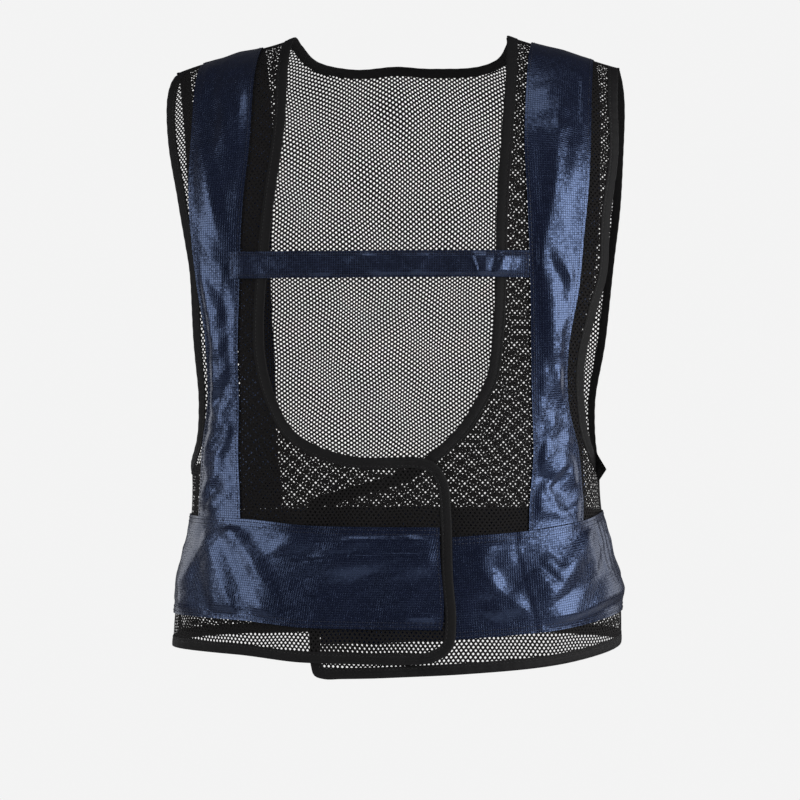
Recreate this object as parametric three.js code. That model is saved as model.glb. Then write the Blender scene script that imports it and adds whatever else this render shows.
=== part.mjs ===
// Cooling vest: a net vest with flat nylon air ducts over the shoulders, an air band round the
// waist, a chest strap and black tape on every edge. It closes in front by lapping.
// Millimetres, +Z up. The front faces -Y and +X is the wearer's left. The origin is midway between
// the shoulders, at the height where the vest rests on them.
import * as THREE from 'three';

// Driving dimensions of the worn form
const DROP = 575;
const CHEST_DROP = 190;
const SHOULDER_RUN = 230;
const NECK_RISE = 10;
const SHOULDER_SLOPE = 0.29;
const SLOPE_ROUNDING = 30;
const CHEST_HALF_WIDTH = 224;
const FRONT_DEPTH = 112;
const BACK_DEPTH = 118;
const SQUARENESS = 2.5;

// Driving dimensions of the cut
const NECK_HALF_WIDTH = 100;
const LAP = 62;
const HEM_SWEEP = 25;
const DUCT_SETBACK = 31;
const DUCT_WIDTH = 58;
const BAND_HEIGHT = 90;
const BAND_RISE = 31;
const STRAP_HEIGHT = 24;
const STRAP_DROP = 4;
const STRAP_END_ON_DUCT = 8;
const TAPE_WIDTH = 10;
const BACK_NECK_DROP = 90;
const ARMHOLE_BOTTOM = 198;

// Thicknesses and clearances
const NET_THICKNESS = 1.0;
const TAPE_BELOW = 0.5;
const TAPE_ABOVE = 1.3;
const NYLON_THICKNESS = 1.6;
const DUCT_CROWN = 1.6;
const STRAP_THICKNESS = 1.4;
const GAP = 0.3;
const LAYER_GAP = 0.6;
const LAP_GAP = 1.1;

// Number of facets
const NECK_STEPS = 10;
const BOWL_STEPS = 12;
const FREE_EDGE_STEPS = 10;
const HEM_STEPS = 11;
const BACK_NECK_STEPS = 10;
const BACK_SHOULDER_STEPS = 2;
const DUCT_COLUMNS = 4;
const DUCT_STEP = 15;
const BAND_STEP = 10;
const BAND_ROWS = 3;
const STRAP_STEP = 6;

// Where the neck's edge and the armhole's edge are split, as shares of their whole lengths, so that
// both sides of a panel have their rows side by side.
const OPENING_SPLIT = [0, 0.31, 0.63, 1];
const ARM_SPLIT = 0.45;

// The band's length as a share of the arc that a circle of the chest's half width would have.
const BAND_GIRTH_SHARE = 0.75;

// Where a panel's free edge has turned the corner into the hem, in degrees, and the number of
// places that a hem's path has.
const CORNER_TURN = 6;
const HEM_PLACES = 6;

// The form at each level: -1 is the hem, 0 the chest line and 1 the top of the shoulder.
// Half width and depths are shares of the sizes at the chest line.
const FORM = [
  { level: -1.0, width: 0.933, front: 1.161, back: 1.051 },
  { level: -0.8, width: 0.906, front: 1.134, back: 1.017 },
  { level: -0.65, width: 0.853, front: 1.098, back: 0.966 },
  { level: -0.52, width: 0.835, front: 1.071, back: 0.949 },
  { level: -0.36, width: 0.875, front: 1.054, back: 0.966 },
  { level: -0.18, width: 0.946, front: 1.036, back: 1.0 },
  { level: 0.0, width: 1.0, front: 1.0, back: 1.0 },
  { level: 0.4, width: 1.018, front: 0.964, back: 0.966 },
  { level: 1.0, width: 1.018, front: 0.929, back: 0.881 },
];

// Opening edge of the right front panel, which laps on top. Out is a share of the neck's half width.
const RIGHT_NECK = [
  { out: -0.94, level: 1.0 },
  { out: -0.93, level: 0.6 },
  { out: -0.93, level: 0.37 },
  { out: -0.98, level: 0.18 },
  { out: -1.03, level: 0.0 },
  { out: -1.07, level: -0.17 },
  { out: -1.05, level: -0.27 },
  { out: -0.97, level: -0.35 },
  { out: -0.81, level: -0.42 },
  { out: -0.56, level: -0.463 },
  { out: -0.22, level: -0.487 },
  { out: 0.1, level: -0.488 },
];

// Its free edge down the front. Out is a share of the lap, level as in FORM.
const RIGHT_FREE_EDGE = [
  { out: 0.52, level: -0.488 },
  { out: 0.76, level: -0.5 },
  { out: 0.94, level: -0.54 },
  { out: 1.0, level: -0.62 },
  { out: 1.03, level: -0.76 },
  { out: 1.08, level: -0.87 },
  { out: 1.02, level: -0.928 },
  { out: 0.78, level: -0.956 },
];

// Opening edge of the left front panel, which runs on under the right one.
const LEFT_NECK = [
  { out: 1.02, level: 1.0 },
  { out: 1.06, level: 0.6 },
  { out: 1.04, level: 0.33 },
  { out: 1.01, level: 0.12 },
  { out: 1.0, level: -0.07 },
  { out: 0.98, level: -0.2 },
  { out: 0.93, level: -0.3 },
  { out: 0.82, level: -0.36 },
  { out: 0.67, level: -0.42 },
  { out: 0.41, level: -0.483 },
  { out: 0.18, level: -0.52 },
  { out: -0.18, level: -0.55 },
];

const LEFT_FREE_EDGE = [
  { out: -0.72, level: -0.57 },
  { out: -1.0, level: -0.586 },
  { out: -1.1, level: -0.63 },
  { out: -1.08, level: -0.76 },
  { out: -1.01, level: -0.93 },
  { out: -0.93, level: -0.977 },
  { out: -0.7, level: -0.998 },
];

// How far the hem rises above the lowest point, as a share of HEM_SWEEP, against the turn round
// the body in degrees: 0 is the front centre, 90 the wearer's left side, 180 the back centre.
const RIGHT_HEM = [
  { turn: -90, rise: 0.84 },
  { turn: -50, rise: 0.8 },
  { turn: -28, rise: 0.6 },
  { turn: 30, rise: 0.56 },
];
const LEFT_HEM = [
  { turn: -25, rise: 0.0 },
  { turn: 0, rise: 0.08 },
  { turn: 31, rise: 0.24 },
  { turn: 56, rise: 0.48 },
  { turn: 80, rise: 0.92 },
  { turn: 90, rise: 1.0 },
];

// Front edge of each armhole from the shoulder down, to a bottom point under the arm.
// Depth is a share of ARMHOLE_BOTTOM below the chest line, level a share of the shoulder run.
const RIGHT_ARMHOLE = [
  { turn: -74.5, level: 1.0, depth: 0 },
  { turn: -75.5, level: 0.6, depth: 0 },
  { turn: -74.0, level: 0.4, depth: 0 },
  { turn: -69.5, level: 0.16, depth: 0 },
  { turn: -66.8, level: 0, depth: 0.06 },
  { turn: -66.6, level: 0, depth: 0.25 },
  { turn: -67.3, level: 0, depth: 0.52 },
  { turn: -69.0, level: 0, depth: 0.72 },
  { turn: -73.0, level: 0, depth: 0.89 },
  { turn: -80.5, level: 0, depth: 0.98 },
  { turn: -90.0, level: 0, depth: 1.0 },
];
const LEFT_ARMHOLE = [
  { turn: 74.5, level: 1.0, depth: 0 },
  { turn: 74.0, level: 0.6, depth: 0 },
  { turn: 74.0, level: 0.35, depth: 0 },
  { turn: 72.0, level: 0.1, depth: 0 },
  { turn: 71.8, level: 0, depth: 0.12 },
  { turn: 69.6, level: 0, depth: 0.3 },
  { turn: 68.4, level: 0, depth: 0.5 },
  { turn: 70.0, level: 0, depth: 0.68 },
  { turn: 73.5, level: 0, depth: 0.86 },
  { turn: 80.5, level: 0, depth: 0.965 },
  { turn: 90.0, level: 0, depth: 1.0 },
];

// The back's armhole edge, mirrored for the right side, and its neckline from the shoulder to the
// centre. Drop is a share of BACK_NECK_DROP.
const BACK_ARMHOLE = [
  { turn: 105.5, level: 1.0, depth: 0 },
  { turn: 105.5, level: 0.6, depth: 0 },
  { turn: 107.0, level: 0.2, depth: 0 },
  { turn: 109.0, level: 0, depth: 0.1 },
  { turn: 109.0, level: 0, depth: 0.45 },
  { turn: 106.5, level: 0, depth: 0.75 },
  { turn: 99.5, level: 0, depth: 0.96 },
  { turn: 90.0, level: 0, depth: 1.0 },
];
const BACK_NECK = [
  { out: 1.0, drop: 0.0 },
  { out: 0.98, drop: 0.35 },
  { out: 0.86, drop: 0.72 },
  { out: 0.55, drop: 0.93 },
  { out: 0.0, drop: 1.0 },
];

// Each duct: its inner edge as a share of the neck's half width with the setback, and its width as
// a share of DUCT_WIDTH, narrower where it bends round the side of the chest.
const DUCT = [
  { level: 1.0, line: 0.96, width: 1.0 },
  { level: 0.55, line: 0.95, width: 1.03 },
  { level: 0.3, line: 0.95, width: 1.03 },
  { level: 0.1, line: 0.98, width: 0.93 },
  { level: -0.1, line: 1.0, width: 0.78 },
  { level: -0.26, line: 1.0, width: 0.6 },
  { level: -0.4, line: 1.0, width: 0.64 },
  { level: -0.52, line: 1.01, width: 0.84 },
  { level: -0.64, line: 1.0, width: 1.02 },
];

// Long creases pressed into the nylon. Across and up say where a fold's middle lies, as shares of
// the piece's two sides, lean tilts it, and the height is a share of NYLON_THICKNESS.
const DUCT_FOLDS = [
  { across: 0.35, up: 0.12, lean: 0.5, length: 0.09, height: 0.9 },
  { across: 0.65, up: 0.26, lean: -0.4, length: 0.08, height: 0.8 },
  { across: 0.3, up: 0.38, lean: 0.8, length: 0.07, height: 0.7 },
  { across: 0.7, up: 0.62, lean: -0.7, length: 0.08, height: 0.8 },
  { across: 0.4, up: 0.85, lean: 0.5, length: 0.08, height: 0.7 },
];
const RIGHT_BAND_FOLDS = [
  { across: 0.45, up: 0.2, lean: 0.7, length: 0.08, height: 1.2 },
  { across: 0.5, up: 0.36, lean: -0.5, length: 0.08, height: 1.0 },
  { across: 0.6, up: 0.78, lean: 1.5, length: 0.16, height: 0.8 },
];
const LEFT_BAND_FOLDS = [
  { across: 0.55, up: 0.66, lean: 1.2, length: 0.07, height: 0.9 },
  { across: 0.45, up: 0.86, lean: 0.4, length: 0.06, height: 1.0 },
];
const BACK_BAND_FOLDS = [
  { across: 0.45, up: 0.12, lean: 0.5, length: 0.06, height: 1.0 },
  { across: 0.55, up: 0.86, lean: -0.5, length: 0.06, height: 1.0 },
];
const FOLD_WIDTH = 0.14;
const FOLD_FADE = 1 / 8;

// Small steps along the cloth, in radians round it and in mm up it, and the number of paces by
// which a duct's width is measured off on the cloth.
const TURN_STEP = 1e-3;
const RUN_STEP = 0.5;
const WIDTH_PACES = 6;
const RADIANS = Math.PI / 180;
const CLOTH_RADIUS = 150;
const SIDE = Math.PI / 2;

// Smooth value of one column of a table, between rows sorted by another column.
function read(table, keyColumn, column, key) {
  const last = table.length - 1;
  const rising = table[last][keyColumn] > table[0][keyColumn];
  const rows = rising ? table : [...table].reverse();
  const clamped = Math.min(Math.max(key, rows[0][keyColumn]), rows[last][keyColumn]);
  let row = 0;
  while (row < last - 1 && rows[row + 1][keyColumn] < clamped) row += 1;
  const slope = (index) => {
    const before = rows[Math.max(index - 1, 0)];
    const after = rows[Math.min(index + 1, last)];
    return (after[column] - before[column]) / (after[keyColumn] - before[keyColumn]);
  };
  const span = rows[row + 1][keyColumn] - rows[row][keyColumn];
  const t = (clamped - rows[row][keyColumn]) / span;
  const start = rows[row][column];
  const end = rows[row + 1][column];
  return (2 * t ** 3 - 3 * t ** 2 + 1) * start
    + (t ** 3 - 2 * t ** 2 + t) * span * slope(row)
    + (3 * t ** 2 - 2 * t ** 3) * end
    + (t ** 3 - t ** 2) * span * slope(row + 1);
}

function smoothStep(value, low, high) {
  const t = Math.min(Math.max((value - low) / (high - low), 0), 1);
  return t * t * (3 - 2 * t);
}

// A place on the cloth is { turn, run }: the angle round the body in radians, and the height of
// the cloth in mm, measured along it above the chest line.
function runAtLevel(level) {
  return level < 0 ? level * (DROP - CHEST_DROP) : level * SHOULDER_RUN;
}

function levelAtRun(run) {
  return run < 0 ? run / (DROP - CHEST_DROP) : run / SHOULDER_RUN;
}

function formSizes(run, atBack) {
  const level = levelAtRun(run);
  const depth = atBack ? BACK_DEPTH * read(FORM, 'level', 'back', level)
    : FRONT_DEPTH * read(FORM, 'level', 'front', level);
  return { width: CHEST_HALF_WIDTH * read(FORM, 'level', 'width', level), depth };
}

function shoulderLine(x) {
  return NECK_RISE - SHOULDER_SLOPE * (Math.hypot(x, SLOPE_ROUNDING) - NECK_HALF_WIDTH);
}

// A rounded box in plan at each level, upright below the chest line. Above it the wall leans in on
// a quarter ellipse to the sloping top of the shoulder.
function formPoint(turn, run) {
  const atBack = Math.abs(turn) > SIDE;
  const { width, depth } = formSizes(run, atBack);
  const sine = Math.sin(turn);
  const cosine = Math.cos(turn);
  const reach = (Math.abs(sine / width) ** SQUARENESS + Math.abs(cosine / depth) ** SQUARENESS)
    ** (-1 / SQUARENESS);
  const x = reach * sine;
  const lean = (Math.max(run, 0) / SHOULDER_RUN) * SIDE;
  const y = -reach * cosine * Math.cos(lean);
  const rise = run < 0 ? run : (shoulderLine(x) + CHEST_DROP) * Math.sin(lean);
  return new THREE.Vector3(x, y, rise - CHEST_DROP);
}

// The place at a distance out from the centre plane.
function placeAt(x, run, atBack = false) {
  const { width, depth } = formSizes(run, atBack);
  const share = Math.min(Math.abs(x) / width, 1);
  const y = depth * (1 - share ** SQUARENESS) ** (1 / SQUARENESS);
  const turn = Math.atan2(x, y);
  if (!atBack) return { turn, run };
  return { turn: Math.sign(x) * Math.PI - turn, run };
}

// How the form runs round the body and up it, per radian and per mm, and which way is out.
function slopesAt({ turn, run }) {
  const round = formPoint(turn + TURN_STEP, run).sub(formPoint(turn - TURN_STEP, run))
    .divideScalar(2 * TURN_STEP);
  const level = Math.min(run, SHOULDER_RUN - 2 * RUN_STEP);
  const up = formPoint(turn, level + RUN_STEP).sub(formPoint(turn, level - RUN_STEP))
    .divideScalar(2 * RUN_STEP);
  const outward = round.clone().cross(up).normalize();
  return { round, up, outward };
}

// The place that lies a distance beside a path, measured on the cloth.
function beside(place, heading, distance) {
  const { round, up, outward } = slopesAt(place);
  const along = round.clone().multiplyScalar(heading.x).addScaledVector(up, heading.y);
  const across = outward.clone().cross(along).setLength(distance);
  const a = round.dot(round);
  const b = round.dot(up);
  const c = up.dot(up);
  const p = across.dot(round);
  const q = across.dot(up);
  const scale = a * c - b * b;
  return {
    turn: place.turn + (c * p - b * q) / scale,
    run: place.run + (a * q - b * p) / scale,
  };
}

// A smooth path through places, as a curve in mm round the body and mm up it.
function trace(places) {
  const points = places.map(({ turn, run }) => new THREE.Vector3(turn * CLOTH_RADIUS, run, 0));
  return new THREE.CatmullRomCurve3(points, false, 'centripetal');
}

// Places along a path, with the way it heads there, at shares of its whole length.
function stepAlong(curve, shares) {
  return shares.map((share) => {
    const point = curve.getPointAt(share);
    const heading = curve.getTangentAt(share);
    return {
      turn: point.x / CLOTH_RADIUS,
      run: point.y,
      heading: new THREE.Vector2(heading.x / CLOTH_RADIUS, heading.y),
    };
  });
}

// Shares that divide each stretch between two bounds into its own number of equal steps.
function stretchShares(bounds, counts) {
  const shares = [bounds[0]];
  counts.forEach((count, stretch) => {
    const start = bounds[stretch];
    const length = bounds[stretch + 1] - start;
    for (let step = 1; step <= count; step += 1) shares.push(start + (length * step) / count);
  });
  return shares;
}

function shiftPath(path, distance) {
  return path.map((place) => beside(place, place.heading, distance));
}

function mixPlaces(start, end, share) {
  return {
    turn: start.turn + (end.turn - start.turn) * share,
    run: start.run + (end.run - start.run) * share,
  };
}

// Places that fill four edges: left and right run downwards, top and bottom from left to right.
function fillPatch(left, right, top, bottom) {
  const lastRow = left.length - 1;
  const lastColumn = top.length - 1;
  return left.map((leftPlace, row) => top.map((topPlace, column) => {
    const u = column / lastColumn;
    const v = row / lastRow;
    const across = mixPlaces(leftPlace, right[row], u);
    const down = mixPlaces(topPlace, bottom[column], v);
    const corners = mixPlaces(
      mixPlaces(left[0], right[0], u),
      mixPlaces(left[lastRow], right[lastRow], u),
      v,
    );
    return {
      turn: across.turn + down.turn - corners.turn,
      run: across.run + down.run - corners.run,
    };
  }));
}

function straight(start, end, count) {
  return Array.from({ length: count + 1 }, (_, step) => mixPlaces(start, end, step / count));
}

// The wall of cloth on a grid of places, between two heights above the form. The lift is
// (place, u, v) => [inner, outer]. A ring joins its last row to its first.
function clothWall(name, grid, lift, finish, ring = false) {
  const rows = grid.length;
  const columns = grid[0].length;
  const positions = [];
  const faces = [];
  for (let row = 0; row < rows; row += 1) {
    for (let column = 0; column < columns; column += 1) {
      const place = grid[row][column];
      const { outward } = slopesAt(place);
      const [inner, outer] = lift(place, column / (columns - 1), row / (rows - 1));
      const base = formPoint(place.turn, place.run);
      positions.push(...base.clone().addScaledVector(outward, outer).toArray());
      positions.push(...base.clone().addScaledVector(outward, inner).toArray());
    }
  }
  const at = (row, column, skin) => ((row % rows) * columns + column) * 2 + skin;
  const quad = (a, b, c, d) => faces.push(a, b, c, a, c, d);
  const spans = ring ? rows : rows - 1;
  for (let row = 0; row < spans; row += 1) {
    for (let column = 0; column < columns - 1; column += 1) {
      quad(at(row, column, 0), at(row + 1, column, 0), at(row + 1, column + 1, 0), at(row, column + 1, 0));
      quad(at(row, column, 1), at(row, column + 1, 1), at(row + 1, column + 1, 1), at(row + 1, column, 1));
    }
    quad(at(row, 0, 0), at(row, 0, 1), at(row + 1, 0, 1), at(row + 1, 0, 0));
    const end = columns - 1;
    quad(at(row, end, 0), at(row + 1, end, 0), at(row + 1, end, 1), at(row, end, 1));
  }
  if (!ring) {
    for (let column = 0; column < columns - 1; column += 1) {
      const end = rows - 1;
      quad(at(0, column, 0), at(0, column + 1, 0), at(0, column + 1, 1), at(0, column, 1));
      quad(at(end, column, 0), at(end, column, 1), at(end, column + 1, 1), at(end, column + 1, 0));
    }
  }
  const geometry = new THREE.BufferGeometry();
  geometry.setAttribute('position', new THREE.Float32BufferAttribute(positions, 3));
  geometry.setIndex(signedVolume(positions, faces) > 0 ? faces : faces.reverse());
  geometry.computeVertexNormals();
  const mesh = new THREE.Mesh(geometry, finish);
  mesh.name = name;
  return mesh;
}

function signedVolume(positions, faces) {
  const corner = (index) => new THREE.Vector3().fromArray(positions, index * 3);
  let volume = 0;
  for (let face = 0; face < faces.length; face += 3) {
    volume += corner(faces[face]).dot(corner(faces[face + 1]).cross(corner(faces[face + 2])));
  }
  return volume;
}

// Heights of the layers above the form. The right front rides over the left one where they lap.
const NYLON_BASE = NET_THICKNESS + LAYER_GAP;
const LAP_HEIGHT = NYLON_BASE + NYLON_THICKNESS + LAP_GAP;
const LAP_RAMP = { startTurn: -52 * RADIANS, endTurn: -32 * RADIANS, topLevel: -0.33, fullLevel: -0.45 };

function lapHeight({ turn, run }) {
  const level = levelAtRun(run);
  return LAP_HEIGHT * smoothStep(turn, LAP_RAMP.startTurn, LAP_RAMP.endTurn)
    * smoothStep(-level, -LAP_RAMP.topLevel, -LAP_RAMP.fullLevel);
}

const flatHeight = () => 0;
const layer = (inner, outer, raise = flatHeight) => (place) => {
  const base = raise(place);
  return [base + inner, base + outer];
};

// Folds are narrow ridges on a piece's outer skin. They fade out before its sewn edges.
function foldHeight(folds, u, v, aspect) {
  const edge = Math.min(1, u / FOLD_FADE, (1 - u) / FOLD_FADE);
  return folds.reduce((height, fold) => {
    const du = u - fold.across;
    const dv = (v - fold.up) * aspect;
    const along = du * Math.cos(fold.lean) + dv * Math.sin(fold.lean);
    const across = dv * Math.cos(fold.lean) - du * Math.sin(fold.lean);
    const length = fold.length * aspect;
    return height + edge * NYLON_THICKNESS * fold.height
      * Math.exp(-((across / FOLD_WIDTH) ** 2) - (along / length) ** 2);
  }, 0);
}

const finishes = {
  net: new THREE.MeshStandardMaterial({ color: 0x2b2a2d, roughness: 0.85, metalness: 0 }),
  tape: new THREE.MeshStandardMaterial({ color: 0x131314, roughness: 0.8, metalness: 0 }),
  nylon: new THREE.MeshStandardMaterial({ color: 0x2a3350, roughness: 0.4, metalness: 0 }),
};

const top = SHOULDER_RUN;
const hemRun = -(DROP - CHEST_DROP);
const seamHalf = GAP / 2;
const shoulderEdge = top - seamHalf;
const sideEdge = SIDE - seamHalf / CHEST_HALF_WIDTH;

function hemAt(table, turnDegrees) {
  return hemRun + HEM_SWEEP * read(table, 'turn', 'rise', turnDegrees);
}

function armholePlaces(table) {
  return table.map(({ turn, level, depth }) => ({
    turn: turn * RADIANS,
    run: level > 0 ? level * SHOULDER_RUN : -depth * ARMHOLE_BOTTOM,
  }));
}

// A front panel is a net with tape on its neck, free edge and hem. The side is 1 for the wearer's
// left. Returns the net, the tape and the armhole's edge.
function frontPanel(label, side, neck, freeEdge, hemTable, armhole, raise) {
  const neckPlaces = neck.map(({ out, level }) => placeAt(out * NECK_HALF_WIDTH, runAtLevel(level)));
  const freePlaces = freeEdge.map(({ out, level }) => placeAt(out * LAP, runAtLevel(level)));
  const openingShares = stretchShares(OPENING_SPLIT, [NECK_STEPS, BOWL_STEPS, FREE_EDGE_STEPS]);
  const hemStart = freePlaces[freePlaces.length - 1].turn / RADIANS;
  const cornerTurn = hemStart + side * CORNER_TURN;
  freePlaces.push({ turn: cornerTurn * RADIANS, run: hemAt(hemTable, cornerTurn) });
  const opening = stepAlong(trace([...neckPlaces, ...freePlaces]), openingShares);

  const hemPlaces = straight({ turn: cornerTurn, run: 0 }, { turn: side * 90, run: 0 }, HEM_PLACES)
    .map(({ turn }) => ({ turn: turn * RADIANS, run: hemAt(hemTable, turn) }));
  const hem = stepAlong(trace(hemPlaces), stretchShares([0, 1], [HEM_STEPS]));
  hem[0].heading.copy(opening[opening.length - 1].heading);

  const armShares = stretchShares([0, ARM_SPLIT, 1], [NECK_STEPS, BOWL_STEPS]);
  const arm = stepAlong(trace(armholePlaces(armhole)), armShares);
  arm[arm.length - 1].heading.set(arm[arm.length - 1].heading.x, 0);

  const netInset = TAPE_WIDTH + GAP;
  const left = shiftPath(opening, side * netInset);
  left[0].run = shoulderEdge;
  const bottom = shiftPath(hem, side * netInset);
  bottom[0] = left[left.length - 1];
  const bottomEnd = bottom[bottom.length - 1];
  bottomEnd.turn = side * sideEdge;
  const armEdge = shiftPath(arm, -side * netInset);
  armEdge[0].run = shoulderEdge;
  const armEnd = armEdge[armEdge.length - 1];
  armEnd.turn = side * sideEdge;
  const seam = straight(armEnd, bottomEnd, FREE_EDGE_STEPS).slice(1);
  const right = [...armEdge, ...seam];
  const topRow = straight(left[0], right[0], HEM_STEPS);
  const grid = fillPatch(left, right, topRow, bottom);
  const net = clothWall(`net_front_${label}`, grid, layer(0, NET_THICKNESS, raise), finishes.net);

  const tapePath = [...opening, ...hem.slice(1)];
  const outerEdge = tapePath.map(({ turn, run }) => ({ turn, run }));
  const innerEdge = shiftPath(tapePath, side * TAPE_WIDTH);
  [outerEdge, innerEdge].forEach((edge) => {
    edge[0].run = shoulderEdge;
    edge[edge.length - 1].turn = side * sideEdge;
  });
  const tapeGrid = outerEdge.map((place, step) => [place, innerEdge[step]]);
  const tapeLift = layer(-TAPE_BELOW, TAPE_ABOVE, raise);
  const tape = clothWall(`edge_binding_${label}`, tapeGrid, tapeLift, finishes.tape);
  return { net, tape, arm };
}

// The band round the waist, a set height above the hem. Its two ends are (run) => turn.
function waistBand(name, startTurn, endTurn, hemLine, folds, raise = flatHeight) {
  const middle = hemRun + BAND_RISE + BAND_HEIGHT / 2;
  const span = Math.abs(endTurn(middle) - startTurn(middle));
  const girth = span * CHEST_HALF_WIDTH * BAND_GIRTH_SHARE;
  const columns = Math.ceil(girth / BAND_STEP);
  const grid = Array.from({ length: BAND_ROWS + 1 }, (_, row) => {
    const height = BAND_RISE + (BAND_HEIGHT * row) / BAND_ROWS;
    const level = hemRun + height;
    return straight({ turn: startTurn(level), run: 0 }, { turn: endTurn(level), run: 0 }, columns)
      .map(({ turn }) => ({ turn, run: hemLine(turn / RADIANS) + height }));
  });
  const aspect = girth / BAND_HEIGHT;
  const lift = (place, u, v) => {
    const base = raise(place) + NYLON_BASE;
    return [base, base + NYLON_THICKNESS + foldHeight(folds, v, u, aspect)];
  };
  return clothWall(name, grid, lift, finishes.nylon);
}

// Where a front band starts, beside the tape on its panel's free edge.
function bandFrontEnd(freeEdge, side) {
  return (run) => {
    const edge = read(freeEdge, 'level', 'out', levelAtRun(run)) * LAP;
    return placeAt(edge + side * (TAPE_WIDTH + 2 * GAP), run).turn;
  };
}

// A duct runs from the band in front, over the shoulder, to the band behind.
function shoulderDuct(label, side, frontHem, behindHem) {
  const bandTop = BAND_RISE + BAND_HEIGHT + GAP;
  const section = (hemLine, share) => {
    const hang = (place) => {
      const end = hemLine(place.turn / RADIANS) + bandTop;
      return { turn: place.turn, run: end + (top - end) * share };
    };
    const run = hemRun + bandTop + (top - hemRun - bandTop) * share;
    const level = levelAtRun(run);
    const line = read(DUCT, 'level', 'line', level) * (NECK_HALF_WIDTH + DUCT_SETBACK);
    const width = read(DUCT, 'level', 'width', level) * DUCT_WIDTH;
    const inner = placeAt(side * line, run);
    let outer = inner;
    for (let pace = 0; pace < WIDTH_PACES; pace += 1) {
      outer = beside(outer, new THREE.Vector2(0, -1), (side * width) / WIDTH_PACES);
    }
    return straight(hang(inner), hang(outer), DUCT_COLUMNS);
  };
  const count = Math.ceil((top - hemRun - bandTop) / DUCT_STEP);
  const shares = Array.from({ length: count + 1 }, (_, step) => step / count);
  const behind = ({ turn, run }) => ({ turn: side * Math.PI - turn, run });
  const front = shares.map((share) => section(frontHem, share));
  const back = shares.slice(0, -1).reverse().map((share) => section(behindHem, share).map(behind));
  const grid = [...front, ...back];
  const aspect = (2 * (top - hemRun - bandTop)) / DUCT_WIDTH;
  const lift = (place, u, v) => {
    const crown = DUCT_CROWN * 4 * u * (1 - u);
    const outer = NYLON_BASE + NYLON_THICKNESS + crown + foldHeight(DUCT_FOLDS, u, v, aspect);
    return [NYLON_BASE, outer];
  };
  return clothWall(`shoulder_duct_${label}`, grid, lift, finishes.nylon);
}

// The chest strap lies on the right duct and ends against the left one.
function chestStrap() {
  const line = (NECK_HALF_WIDTH + DUCT_SETBACK) * read(DUCT, 'level', 'line', 0);
  const topRun = -STRAP_DROP;
  const startX = -(line + STRAP_END_ON_DUCT);
  const endX = line - GAP;
  const columns = Math.ceil((endX - startX) / STRAP_STEP);
  const grid = [topRun, topRun - STRAP_HEIGHT].map((run) => (
    straight({ turn: startX, run }, { turn: endX, run }, columns).map((place) => placeAt(place.turn, run))
  ));
  const resting = TAPE_ABOVE + LAYER_GAP;
  const onDuct = NYLON_BASE + NYLON_THICKNESS + DUCT_CROWN + LAYER_GAP;
  const ductTurn = placeAt(line, topRun).turn;
  const netTurn = placeAt(NECK_HALF_WIDTH + TAPE_WIDTH, topRun).turn;
  const lift = ({ turn }) => {
    const inner = resting + (onDuct - resting) * smoothStep(-turn, netTurn, ductTurn);
    return [inner, inner + STRAP_THICKNESS];
  };
  return clothWall('chest_strap', grid, lift, finishes.nylon);
}

// The armhole's tape is one ring: down the front edge, under the arm and up the back edge.
function armholeBinding(label, side, frontArm, backArm) {
  const backRows = [...backArm].reverse().slice(1, -1).map((place) => ({
    ...place,
    heading: place.heading.clone().negate(),
  }));
  const path = [...frontArm, ...backRows];
  const inner = shiftPath(path, -side * TAPE_WIDTH);
  const grid = path.map(({ turn, run }, step) => [{ turn, run }, inner[step]]);
  return clothWall(`armhole_binding_${label}`, grid, layer(-TAPE_BELOW, TAPE_ABOVE), finishes.tape, true);
}

function backArmholePath(side) {
  const places = armholePlaces(BACK_ARMHOLE).map(({ turn, run }) => ({ turn: side * turn, run }));
  const path = stepAlong(trace(places), stretchShares([0, ARM_SPLIT, 1], [NECK_STEPS, BOWL_STEPS]));
  path[path.length - 1].heading.y = 0;
  return path;
}

// The back's turns run on from the left side, 90 degrees, through the back centre to 270.
function backHemLine(turnDegrees) {
  const share = (turnDegrees - 90) / 180;
  const leftRise = LEFT_HEM[LEFT_HEM.length - 1].rise;
  const rightRise = RIGHT_HEM[0].rise;
  return hemRun + HEM_SWEEP * (leftRise + (rightRise - leftRise) * share);
}

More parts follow.
